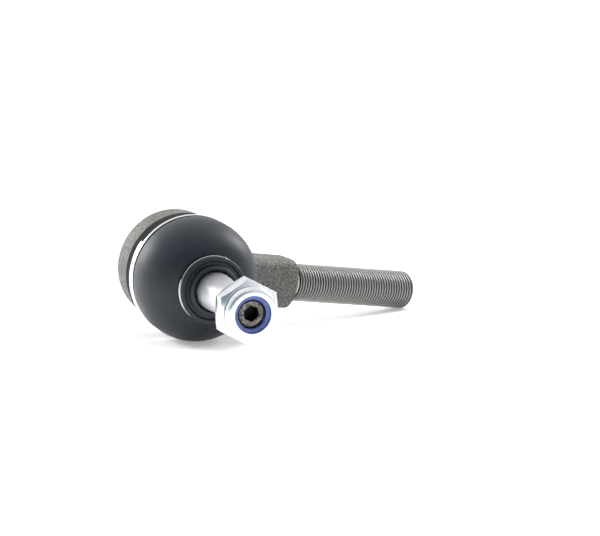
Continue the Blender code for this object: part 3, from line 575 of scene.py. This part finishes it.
neck_angle = math.degrees(math.acos(STUD_NECK_RADIUS / BALL_RADIUS))
flat_angle = math.degrees(math.asin(BALL_FLAT / BALL_RADIUS))
stud_outline = [
    (0, STUD_THREAD_START + THREAD_PITCH),
    (STUD_RELIEF_RADIUS, STUD_THREAD_START + THREAD_PITCH),
    (STUD_RELIEF_RADIUS, TAPER_END + TAPER_END_CHAMFER),
    (TAPER_END_RADIUS - TAPER_END_CHAMFER, TAPER_END),
    (TAPER_END_RADIUS, TAPER_END - TAPER_END_CHAMFER),
    (STUD_SHOULDER_RADIUS, TAPER_START),
    (STUD_SHOULDER_RADIUS, STUD_SHOULDER),
    (STUD_NECK_RADIUS, STUD_NECK_TOP),
    *arc(0, 0, BALL_RADIUS, neck_angle, flat_angle, BALL_STEPS),
    (0, BALL_FLAT),
]
stud = lathe("ball_stud_turned", stud_outline, ON_STUD, STUD_ROUND)
stud_thread = threaded_rod("stud_thread", STUD_THREAD_RADIUS, STUD_THREAD_START, STUD_END, ON_STUD)
stud_envelope_outline = [
    (0, STUD_END),
    (STUD_THREAD_RADIUS - STUD_END_CHAMFER, STUD_END),
    (STUD_THREAD_RADIUS + CREST_ROOM, STUD_END - STUD_END_CHAMFER - CREST_ROOM),
    (STUD_THREAD_RADIUS + CREST_ROOM, STUD_THREAD_START),
    (0, STUD_THREAD_START),
]
stud_envelope = lathe("stud_envelope", stud_envelope_outline, ON_STUD, THREAD_ROUND)


def hexagon(name, across_flats, turn, bottom, top):
    """A hexagonal bar along the stud, between two heights."""
    bpy.ops.object.select_all(action="DESELECT")
    bpy.ops.mesh.primitive_cylinder_add(vertices=6, radius=across_flats / math.sqrt(3), depth=top - bottom,
                                        enter_editmode=True)
    bpy.ops.transform.translate(value=(0, 0, (top + bottom) / 2))
    bpy.ops.object.mode_set(mode="OBJECT")
    item = bpy.context.object
    item.name = item.data.name = name
    return place(item, ON_STUD @ Matrix.Rotation(turn, 4, "Z"))


cut(stud_envelope, hexagon("socket", SOCKET_ACROSS_FLATS, SOCKET_TURN, STUD_END - SOCKET_DEPTH,
                           STUD_END + CUT_PAST))
cut(stud_thread, stud_envelope, "INTERSECT")
join(stud, stud_thread)

ZINC = (0.86, 0.87, 0.9)
STUD_TINT = (0.84, 0.84, 0.9)
PHOSPHATE_DARK = (0.03, 0.026, 0.024)
PHOSPHATE_LIGHT = (0.33, 0.305, 0.29)
PHOSPHATE_CREST = (0.24, 0.225, 0.215)
# Painted shade: the hexagon socket is painted near black, as the shade deep inside it.
SOCKET_PAINTED_SHADE = (0.008, 0.007, 0.007)
SOCKET_SHADE = 0.6 * MM  # the depth at which the socket is fully dark
GROUND_ROUGHNESS, GROUND_METAL, GROUND_RELIEF = 0.42, 1.0, 0.02 * MM
PHOSPHATE_ROUGHNESS, PHOSPHATE_METAL = 0.5, 0.4
SOCKET_CORNER = SOCKET_ACROSS_FLATS / math.sqrt(3)

stud_finish, stud_tree, stud_shader = new_material("ground_stud", GROUND_ROUGHNESS, GROUND_METAL)
stud_grain = use_group(stud_tree, grain_group, fine_scale=1000.0, patch_scale=150.0)
on_stud = use_group(stud_tree, axis_group, origin=BALL, axis=STUD_AXIS)
along_stud, off_stud = on_stud.outputs["Along"], on_stud.outputs["Away"]
bright = ramp(stud_tree, stud_grain.outputs["Patch"], (PATCH_LOW, STUD_TINT), (0.6, ZINC))
speckled = ramp(stud_tree, stud_grain.outputs["Fine"], (0.4, PHOSPHATE_DARK), (0.65, PHOSPHATE_LIGHT))
# Painted shade: the phosphated thread is painted darker in its roots than on its crests.
stud_crest = mask(stud_tree, off_stud, STUD_THREAD_RADIUS - THREAD_DEPTH, STUD_THREAD_RADIUS)
threaded = ramp(stud_tree, stud_crest, (0.0, PHOSPHATE_DARK), (1.0, PHOSPHATE_CREST))
end_face = mask(stud_tree, along_stud, STUD_END - 2 * EDGE, STUD_END - EDGE)
dark = mix_colour(stud_tree, end_face, threaded, speckled)
phosphated = mask(stud_tree, along_stud, TAPER_END, TAPER_END + STUD_RELIEF_LENGTH)
# The socket's painted shade deepens from the end face down to its full depth.
below_end = mask(stud_tree, along_stud, STUD_END - EDGE, STUD_END - SOCKET_SHADE)
near_axis = mask(stud_tree, off_stud, SOCKET_CORNER + 2 * EDGE, SOCKET_CORNER)
socket_shade_paint = maths(stud_tree, "MULTIPLY", near_axis, below_end)
stud_colour = mix_colour(stud_tree, phosphated, bright, dark)
stud_colour = mix_colour(stud_tree, socket_shade_paint, stud_colour, (*SOCKET_PAINTED_SHADE, 1))
stud_tree.links.new(stud_colour, stud_shader.inputs["Base Color"])
vary(stud_tree, phosphated, GROUND_ROUGHNESS, PHOSPHATE_ROUGHNESS, stud_shader.inputs["Roughness"])
vary(stud_tree, phosphated, GROUND_METAL, PHOSPHATE_METAL, stud_shader.inputs["Metallic"])
relief(stud_tree, stud_shader, stud_grain.outputs["Fine"], GROUND_RELIEF, 0.2)
finish_piece(stud, stud_finish, "stud", "ball_stud")


# ---- Dust boot ----
# A moulded rubber boot, full of grease. Its bead sits on the cup's collar, the dome takes up the swing of the
# stud, and the flanged lip seals on the stud's shoulder in front of the small ring.
BOOT_RADIUS = 25.8 * MM
BOOT_WALL = 2.0 * MM
BOOT_WIDEST = 7.0 * MM
BOOT_BEAD_RADIUS = 24.6 * MM
BOOT_BEAD_INNER_RADIUS = 21.1 * MM
BOOT_BEAD_BACK = -9.9 * MM
BOOT_BEAD_CHAMFER = 0.6 * MM
BOOT_RING_SEAT = 3.3 * MM
BOOT_RIM_RADIUS = 22.0 * MM
BOOT_DOME_TOP = 25.5 * MM
BOOT_NECK_RADIUS = 12.6 * MM
BOOT_LIP = 28.425 * MM
BOOT_LIP_TOP = 30.225 * MM
BOOT_LIP_RADIUS = 14.1 * MM
BOOT_LIP_CHAMFER = 0.5 * MM
BOOT_GROOVE_RADIUS = 12.0 * MM
BOOT_GROOVE_DEPTH = 0.9 * MM
BOOT_SEAL_RADIUS = 10.6 * MM
BOOT_SEAL_BORE = 8.3 * MM
BOOT_SEAL_TOP = 31.825 * MM
BOOT_SEAL_CHAMFER = 0.8 * MM
BOOT_EDGE = 0.2 * MM
DOME_START_DEG = 84  # where the dome rises from the neck
DOME_STEPS = 32
INSIDE_STEPS = 16

dome_reach = BOOT_RADIUS - BOOT_NECK_RADIUS
dome_height = BOOT_DOME_TOP - BOOT_WIDEST
inner_reach = dome_reach - BOOT_WALL
inner_height = dome_height - BOOT_WALL
boot_outline = [
    (BOOT_SEAL_BORE, BOOT_LIP_TOP),
    (BOOT_SEAL_BORE + BOOT_SEAL_CHAMFER, BOOT_SEAL_TOP),
    (BOOT_SEAL_RADIUS - BOOT_SEAL_CHAMFER, BOOT_SEAL_TOP),
    (BOOT_SEAL_RADIUS, BOOT_SEAL_TOP - BOOT_SEAL_CHAMFER),
    (BOOT_SEAL_RADIUS, BOOT_LIP_TOP - BOOT_GROOVE_DEPTH),
    (BOOT_GROOVE_RADIUS, BOOT_LIP_TOP - BOOT_GROOVE_DEPTH),
    (BOOT_GROOVE_RADIUS + BOOT_LIP_CHAMFER, BOOT_LIP_TOP),
    (BOOT_LIP_RADIUS - BOOT_LIP_CHAMFER, BOOT_LIP_TOP),
    (BOOT_LIP_RADIUS, BOOT_LIP_TOP - BOOT_LIP_CHAMFER),
    (BOOT_LIP_RADIUS, BOOT_LIP),
    (BOOT_NECK_RADIUS, BOOT_LIP),
    (BOOT_NECK_RADIUS, BOOT_DOME_TOP),
    *arc(BOOT_NECK_RADIUS, BOOT_WIDEST, dome_reach, DOME_START_DEG, 0, DOME_STEPS, dome_height / dome_reach),
    (BOOT_RADIUS, BOOT_RING_SEAT),
    (BOOT_BEAD_RADIUS, BOOT_RING_SEAT),
    (BOOT_BEAD_RADIUS, BOOT_BEAD_BACK + BOOT_BEAD_CHAMFER),
    (BOOT_BEAD_RADIUS - BOOT_BEAD_CHAMFER, BOOT_BEAD_BACK),
    (BOOT_BEAD_INNER_RADIUS, BOOT_BEAD_BACK),
    (BOOT_BEAD_INNER_RADIUS, COLLAR_RIM_BOTTOM - GAP),
    (BOOT_RIM_RADIUS, COLLAR_RIM_BOTTOM - GAP),
    (BOOT_RIM_RADIUS, COLLAR_RIM_TOP + GAP),
    *arc(BOOT_NECK_RADIUS, BOOT_WIDEST, inner_reach, 0, 90, INSIDE_STEPS, inner_height / inner_reach),
    (BOOT_SEAL_BORE, BOOT_DOME_TOP - BOOT_WALL / 2),
    (BOOT_SEAL_BORE, BOOT_LIP_TOP),
]
boot = lathe("boot_rubber", boot_outline, ON_STUD)
soften(boot, BOOT_EDGE)

RUBBER_DARK = (0.009, 0.013, 0.019)
RUBBER_LIGHT = (0.015, 0.021, 0.03)
# Painted shade: the bead behind the wide ring is painted near black, as the shade in the gap between the cup and
# the ring.
BEAD_PAINTED_SHADE = (0.004, 0.004, 0.005)
BEAD_ROUGHNESS = 1.0
DOME_ROUGHNESS = 0.48
RUBBER_SPECULAR = 0.42
RUBBER_RELIEF = 0.03 * MM

rubber, rubber_tree, rubber_shader = new_material("moulded_rubber", DOME_ROUGHNESS, 0.0)
rubber_shader.inputs["Specular IOR Level"].default_value = RUBBER_SPECULAR
rubber_grain = use_group(rubber_tree, grain_group, fine_scale=1100.0, patch_scale=90.0)
rubber_on_stud = use_group(rubber_tree, axis_group, origin=BALL, axis=STUD_AXIS)
rubber_colour = ramp(rubber_tree, rubber_grain.outputs["Patch"],
                     (PATCH_LOW, RUBBER_DARK), (PATCH_HIGH, RUBBER_LIGHT))
# The mask keeps the painted shade on the bead and the rubber's own colour on the dome.
dome = mask(rubber_tree, rubber_on_stud.outputs["Along"], BOOT_RING_SEAT - GAP, BOOT_RING_SEAT + GAP)
rubber_tree.links.new(mix_colour(rubber_tree, dome, (*BEAD_PAINTED_SHADE, 1), rubber_colour),
                      rubber_shader.inputs["Base Color"])
vary(rubber_tree, dome, BEAD_ROUGHNESS, DOME_ROUGHNESS, rubber_shader.inputs["Roughness"])
relief(rubber_tree, rubber_shader, rubber_grain.outputs["Fine"], RUBBER_RELIEF, 0.35)
boot.data.materials.clear()
boot.data.materials.append(rubber)
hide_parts("dust_boot")
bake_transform(boot)


# ---- Spring rings ----
# Flat bright spring wire, wound edge to edge: one and a half turns round the bead and one and a quarter round
# the boot's neck. Each grips the rubber by its own tension and is simply slipped over.
WIRE_CORNER = 0.22  # the wire's corner round, as a share of its lesser side
WIRE_CORNER_STEPS = 3
WIDE_RING_RADIUS = 24.9 * MM
WIDE_WIRE_WIDTH = 1.7 * MM
WIDE_WIRE_THICKNESS = 0.9 * MM
WIDE_COIL_GAP = 0.5 * MM
WIDE_TURNS = 1.5
WIDE_RING_BACK = -2.0 * MM
WIDE_RING_END = math.radians(155)
NECK_RING_RADIUS = 12.9 * MM
NECK_WIRE_WIDTH = 0.8 * MM
NECK_WIRE_THICKNESS = 1.2 * MM
NECK_COIL_GAP = 0.42 * MM
NECK_TURNS = 1.25
NECK_RING_BACK = BOOT_DOME_TOP + GAP
NECK_RING_END = math.radians(172)


def wound_ring(name, inner_radius, width, thickness, coil_gap, turns, back, end_azimuth):
    """A strip of rounded flat wire wound along the stud, with its two ends closed."""
    corner = WIRE_CORNER * min(width, thickness)
    inside, outside = inner_radius + corner, inner_radius + thickness - corner
    low, high = back + corner, back + width - corner
    outline = (arc(outside, high, corner, 90, 0, WIRE_CORNER_STEPS)
               + arc(outside, low, corner, 0, -90, WIRE_CORNER_STEPS)
               + arc(inside, low, corner, -90, -180, WIRE_CORNER_STEPS)
               + arc(inside, high, corner, 180, 90, WIRE_CORNER_STEPS))
    ring = chain(name, outline + outline[:1])
    modify(ring, "SCREW", angle=2 * math.pi * turns, screw_offset=(width + coil_gap) * turns,
           steps=round(ROUND * turns), render_steps=round(ROUND * turns))
    bpy.ops.object.mode_set(mode="EDIT")
    bpy.ops.mesh.select_all(action="SELECT")
    bpy.ops.mesh.remove_doubles(threshold=WELD)
    bpy.ops.mesh.select_all(action="DESELECT")
    bpy.ops.mesh.select_mode(type="EDGE")
    bpy.ops.mesh.select_non_manifold()
    bpy.ops.mesh.fill_holes(sides=0)
    merge_and_face_out()
    place(ring, ON_STUD @ Matrix.Rotation(end_azimuth, 4, "Z"))
    bpy.ops.object.shade_smooth_by_angle(angle=SMOOTH_WIRE_BELOW)
    return ring


wide_ring = wound_ring("wide_spring_ring", WIDE_RING_RADIUS, WIDE_WIRE_WIDTH, WIDE_WIRE_THICKNESS,
                       WIDE_COIL_GAP, WIDE_TURNS, WIDE_RING_BACK, WIDE_RING_END)
neck_ring = wound_ring("neck_spring_ring", NECK_RING_RADIUS, NECK_WIRE_WIDTH, NECK_WIRE_THICKNESS,
                       NECK_COIL_GAP, NECK_TURNS, NECK_RING_BACK, NECK_RING_END)

WIRE_DARK = (0.8, 0.81, 0.83)
WIRE_LIGHT = (0.9, 0.9, 0.91)
# Painted shade: all but the wire's outer face is painted dark, as the shade between the coils.
WIRE_PAINTED_SHADE = (0.03, 0.03, 0.032)
WIRE_ROUGHNESS = 0.22
WIRE_RELIEF = 0.02 * MM


def wire_finish(name, outer_radius):
    """Bright wire whose hidden flanks, between the coils, and inner face are painted dark as shade."""
    made, tree, shader = new_material(name, WIRE_ROUGHNESS, 1.0)
    grain = use_group(tree, grain_group, fine_scale=900.0, patch_scale=120.0)
    on_axis = use_group(tree, axis_group, origin=BALL, axis=STUD_AXIS)
    bright_wire = ramp(tree, grain.outputs["Patch"], (PATCH_LOW, WIRE_DARK), (PATCH_HIGH, WIRE_LIGHT))
    outside = mask(tree, on_axis.outputs["Away"], outer_radius - 3 * EDGE, outer_radius - EDGE)
    tree.links.new(mix_colour(tree, outside, (*WIRE_PAINTED_SHADE, 1), bright_wire), shader.inputs["Base Color"])
    relief(tree, shader, grain.outputs["Fine"], WIRE_RELIEF, 0.3)
    return made


finish_piece(wide_ring, wire_finish("wide_ring_wire", WIDE_RING_RADIUS + WIDE_WIRE_THICKNESS),
             "housing", "boot_spring_ring")
finish_piece(neck_ring, wire_finish("neck_ring_wire", NECK_RING_RADIUS + NECK_WIRE_THICKNESS),
             "boot_neck", "boot_neck_ring")


# ---- Lock nut ----
# A cold-formed hexagon nut, zinc-plated, with chamfered corners. Its round crown is pressed over the nylon
# ring and turned in to a smooth mouth; a groove runs round the crown's foot, and it is painted dark as shade.
NUT_ACROSS_FLATS = 24.0 * MM
NUT_TURN = math.radians(13)
NUT_FACE_RADIUS = 11.3 * MM
NUT_CHAMFER_ANGLE = math.radians(30)
NUT_CROWN_RADIUS = 11.1 * MM
NUT_CROWN_ROUND = 2.2 * MM
NUT_CROWN_STEPS = 10
NUT_GROOVE_RADIUS = 10.6 * MM
NUT_GROOVE_HEIGHT = 1.0 * MM
NUT_POCKET_RADIUS = 9.4 * MM
NUT_MOUTH_RADIUS = 7.8 * MM
NUT_MOUTH_LIP = 0.9 * MM
NUT_BORE_RADIUS = 6.3 * MM
NUT_BORE_CHAMFER = 0.6 * MM
NUT_EDGE = 0.25 * MM
NUT_EDGE_STEPS = 3
INSERT_THICKNESS = 2.2 * MM

nut_hex_top = NUT_BEARING + NUT_HEX_HEIGHT
nut_top = nut_hex_top + NUT_CROWN_HEIGHT
nut_mouth = nut_top - NUT_MOUTH_LIP
pocket_floor = nut_mouth - INSERT_THICKNESS - 2 * GAP
nut_reach = NUT_ACROSS_FLATS / math.sqrt(3) + CUT_PAST
nut_drop = (nut_reach - NUT_FACE_RADIUS) * math.tan(NUT_CHAMFER_ANGLE)
nut_outline = [
    (NUT_MOUTH_RADIUS, nut_mouth),
    (NUT_MOUTH_RADIUS, nut_top),
    *arc(NUT_CROWN_RADIUS - NUT_CROWN_ROUND, nut_top - NUT_CROWN_ROUND, NUT_CROWN_ROUND, 90, 0,
         NUT_CROWN_STEPS),
    (NUT_CROWN_RADIUS, nut_hex_top + NUT_GROOVE_HEIGHT),
    (NUT_GROOVE_RADIUS, nut_hex_top + NUT_GROOVE_HEIGHT / 2),
    (NUT_GROOVE_RADIUS, nut_hex_top),
    (NUT_FACE_RADIUS, nut_hex_top),
    (nut_reach, nut_hex_top - nut_drop),
    (nut_reach, NUT_BEARING + nut_drop),
    (NUT_FACE_RADIUS, NUT_BEARING),
    (NUT_BORE_RADIUS + NUT_BORE_CHAMFER, NUT_BEARING),
    (NUT_BORE_RADIUS, NUT_BEARING + NUT_BORE_CHAMFER),
    (NUT_BORE_RADIUS, pocket_floor),
    (NUT_POCKET_RADIUS, pocket_floor),
    (NUT_POCKET_RADIUS, nut_mouth),
    (NUT_MOUTH_RADIUS, nut_mouth),
]
nut = hexagon("lock_nut_forged", NUT_ACROSS_FLATS, NUT_TURN, NUT_BEARING - CUT_PAST, nut_top + CUT_PAST)
cut(nut, lathe("nut_turning", nut_outline, ON_STUD), "INTERSECT")
soften(nut, NUT_EDGE, NUT_EDGE_STEPS)

PASSIVATE = (0.72, 0.77, 0.78)
# Painted shade: the groove round the crown's foot is painted dark, as the shade in that crease.
GROOVE_PAINTED_SHADE = (0.12, 0.13, 0.13)
ZINC_ROUGHNESS = 0.22
ZINC_RELIEF = 0.12 * MM

zinc, zinc_tree, zinc_shader = new_material("bright_zinc", ZINC_ROUGHNESS, 1.0)
zinc_grain = use_group(zinc_tree, grain_group, fine_scale=1000.0, patch_scale=140.0)
zinc_on_stud = use_group(zinc_tree, axis_group, origin=BALL, axis=STUD_AXIS)
along_nut = zinc_on_stud.outputs["Along"]
zinc_colour = ramp(zinc_tree, zinc_grain.outputs["Patch"], (PATCH_LOW, PASSIVATE), (PATCH_HIGH, ZINC))
groove_top = nut_hex_top + NUT_GROOVE_HEIGHT
# The mask holds the painted shade to the groove's floor, between the crown and the hexagon's top.
groove_bottom = mask(zinc_tree, zinc_on_stud.outputs["Away"], NUT_CROWN_RADIUS - EDGE,
                     NUT_GROOVE_RADIUS + EDGE)
below_crown = mask(zinc_tree, along_nut, groove_top + EDGE, groove_top)
over_hex = mask(zinc_tree, along_nut, nut_hex_top - EDGE, nut_hex_top)
groove_shade_paint = maths(zinc_tree, "MULTIPLY", maths(zinc_tree, "MULTIPLY", groove_bottom, below_crown), over_hex)
zinc_tree.links.new(mix_colour(zinc_tree, groove_shade_paint, zinc_colour, (*GROOVE_PAINTED_SHADE, 1)),
                    zinc_shader.inputs["Base Color"])
relief(zinc_tree, zinc_shader, zinc_grain.outputs["Patch"], ZINC_RELIEF, 0.3)
finish_piece(nut, zinc, "nut", "lock_nut")


# ---- Nylon insert ----
# The blue nylon ring under the crown's lip. The thread cuts its own way into it, and that grip keeps the nut
# from working loose. Only its upper lip is narrower than the nut's bore.
INSERT_CHAMFER = 0.3 * MM
INSERT_LIP_RADIUS = 6.05 * MM
INSERT_LIP = 0.9 * MM
INSERT_EDGE = 0.2 * MM

insert_top = nut_mouth - GAP
insert_outer = NUT_POCKET_RADIUS - GAP
insert_bottom = insert_top - INSERT_THICKNESS
insert_outline = [
    (insert_outer, insert_top),
    (insert_outer, insert_bottom),
    (NUT_BORE_RADIUS, insert_bottom),
    (NUT_BORE_RADIUS, insert_top - INSERT_LIP),
    (INSERT_LIP_RADIUS, insert_top - INSERT_LIP),
    (INSERT_LIP_RADIUS, insert_top - INSERT_CHAMFER),
    (INSERT_LIP_RADIUS + INSERT_CHAMFER, insert_top),
    (insert_outer, insert_top),
]
insert = lathe("nylon_ring", insert_outline, ON_STUD)
soften(insert, INSERT_EDGE)
nylon = plain_finish("blue_nylon", dark=(0.08, 0.125, 0.39), light=(0.13, 0.19, 0.5), roughness=0.38,
                     metallic=0.0, fine_scale=800.0, grain_height=0.03 * MM)
finish_piece(insert, nylon, "insert", "nylon_insert")


# ---- Camera ----
# It stands where the photograph was taken from: low, in front and to the left, and far away with a long lens.
CAMERA_AZIMUTH = math.radians(316.9)
CAMERA_ELEVATION = math.radians(8.35)
CAMERA_DISTANCE = 2.2
FRAME_WIDTH, FRAME_HEIGHT = 600, 536
FOCAL_PIXELS = 5324
BALL_PIXEL = (189.5, 275.3)
SENSOR_WIDTH = 36.0

back = Vector((math.sin(CAMERA_AZIMUTH) * math.cos(CAMERA_ELEVATION),
               -math.cos(CAMERA_AZIMUTH) * math.cos(CAMERA_ELEVATION), math.sin(CAMERA_ELEVATION)))
right = Vector((math.cos(CAMERA_AZIMUTH), math.sin(CAMERA_AZIMUTH), 0))
up = back.cross(right)
metres_per_pixel = CAMERA_DISTANCE / FOCAL_PIXELS
ball_right = (BALL_PIXEL[0] - FRAME_WIDTH / 2) * metres_per_pixel
ball_up = (FRAME_HEIGHT / 2 - BALL_PIXEL[1]) * metres_per_pixel
camera_matrix = Matrix((right, up, back)).transposed().to_4x4()
camera_matrix.translation = BALL + back * CAMERA_DISTANCE - right * ball_right - up * ball_up
camera_data = bpy.data.cameras.new("photo_camera")
camera_data.sensor_width = SENSOR_WIDTH
camera_data.lens = FOCAL_PIXELS * SENSOR_WIDTH / FRAME_WIDTH
camera = bpy.data.objects.new("photo_camera", camera_data)
bpy.context.scene.collection.objects.link(camera)
camera.matrix_world = camera_matrix
bpy.context.scene.camera = camera


# ---- Studio ----
# A white table in a white room that darkens towards the camera. One soft lamp overhead and one on the left
# light the part, and a smaller one on either side draws the sheen along the boot. The table keeps the shadow.
FLOOR_SIZE = 6.0
FLOOR_COLOUR = (0.8, 0.8, 0.8)
FLOOR_ROUGHNESS = 0.9
FLOOR_GLOW = 0.3  # added where the camera or a reflection sees the table
ROOM_FOR_LIGHT = 0.5
ROOM_FOR_SHINE = 1.0
WHITE = (1.0, 1.0, 1.0)
ROOM_COLOURS = (  # from square to the line of sight, at 0, to right behind the camera, at 1
    (0.3, WHITE),
    (0.6, (0.86, 0.88, 0.92)),
    (0.92, (0.25, 0.3, 0.37)),
)

bpy.ops.object.select_all(action="DESELECT")
bpy.ops.mesh.primitive_plane_add(size=FLOOR_SIZE)
floor = bpy.context.object
floor.name = "white_table"
table_finish, table_tree, table_shader = new_material("white_table", FLOOR_ROUGHNESS, 0.0)
table_shader.inputs["Base Color"].default_value = (*FLOOR_COLOUR, 1)
table_shader.inputs["Specular IOR Level"].default_value = 0.0
table_shader.inputs["Emission Color"].default_value = (*WHITE, 1)
seen_by = add_node(table_tree, "LightPath").outputs
seen = maths(table_tree, "MAXIMUM", seen_by["Is Camera Ray"], seen_by["Is Glossy Ray"])
glow = maths(table_tree, "MULTIPLY", seen, FLOOR_GLOW)
table_tree.links.new(glow, table_shader.inputs["Emission Strength"])
floor.data.materials.append(table_finish)

world = bpy.data.worlds.new("white_room")
world.use_nodes = True
bpy.context.scene.world = world
room = world.node_tree
room_light = room.nodes["Background"]
room_path = add_node(room, "LightPath").outputs
room_way = add_node(room, "TexCoord").outputs["Generated"]
room_to_camera = add_node(room, "VectorMath", {0: room_way, 1: back}, operation="DOT_PRODUCT")
room_colour = ramp(room, room_to_camera.outputs["Value"], *ROOM_COLOURS)
room_seen = mix_colour(room, room_path["Is Camera Ray"], room_colour, (*WHITE, 1))
room_power = add_node(room, "MapRange", {"Value": room_path["Is Glossy Ray"], "To Min": ROOM_FOR_LIGHT,
                                         "To Max": ROOM_FOR_SHINE}).outputs["Result"]
room.links.new(room_seen, room_light.inputs["Color"])
room.links.new(maths(room, "MAXIMUM", room_power, room_path["Is Camera Ray"]), room_light.inputs["Strength"])


def soft_lamp(name, to_right, to_up, to_camera, size, watts, in_reflections):
    """A square area lamp set off from the ball along the camera's own directions, facing the part."""
    data = bpy.data.lights.new(name, "AREA")
    data.shape = "SQUARE"
    data.size = size
    data.energy = watts
    lamp = bpy.data.objects.new(name, data)
    bpy.context.scene.collection.objects.link(lamp)
    offset = right * to_right + up * to_up + back * to_camera
    lamp.location = BALL + offset
    lamp.rotation_euler = offset.to_track_quat("Z", "Y").to_euler()
    lamp.visible_glossy = in_reflections


for lamp_settings in (
    # name, metres to the right, up and to the camera, size in metres, watts, shows in reflections
    ("overhead_softbox", 0.05, 1.2, -0.15, 0.8, 15, False),
    ("left_softbox", -1.05, 0.75, -0.35, 0.5, 16, False),
    ("left_strip", -0.95, 0.5, -0.8, 0.4, 6, True),
    ("right_strip", 0.85, 0.7, -0.55, 0.45, 7, True),
):
    soft_lamp(*lamp_settings)

bpy.context.scene.view_settings.view_transform = "Standard"
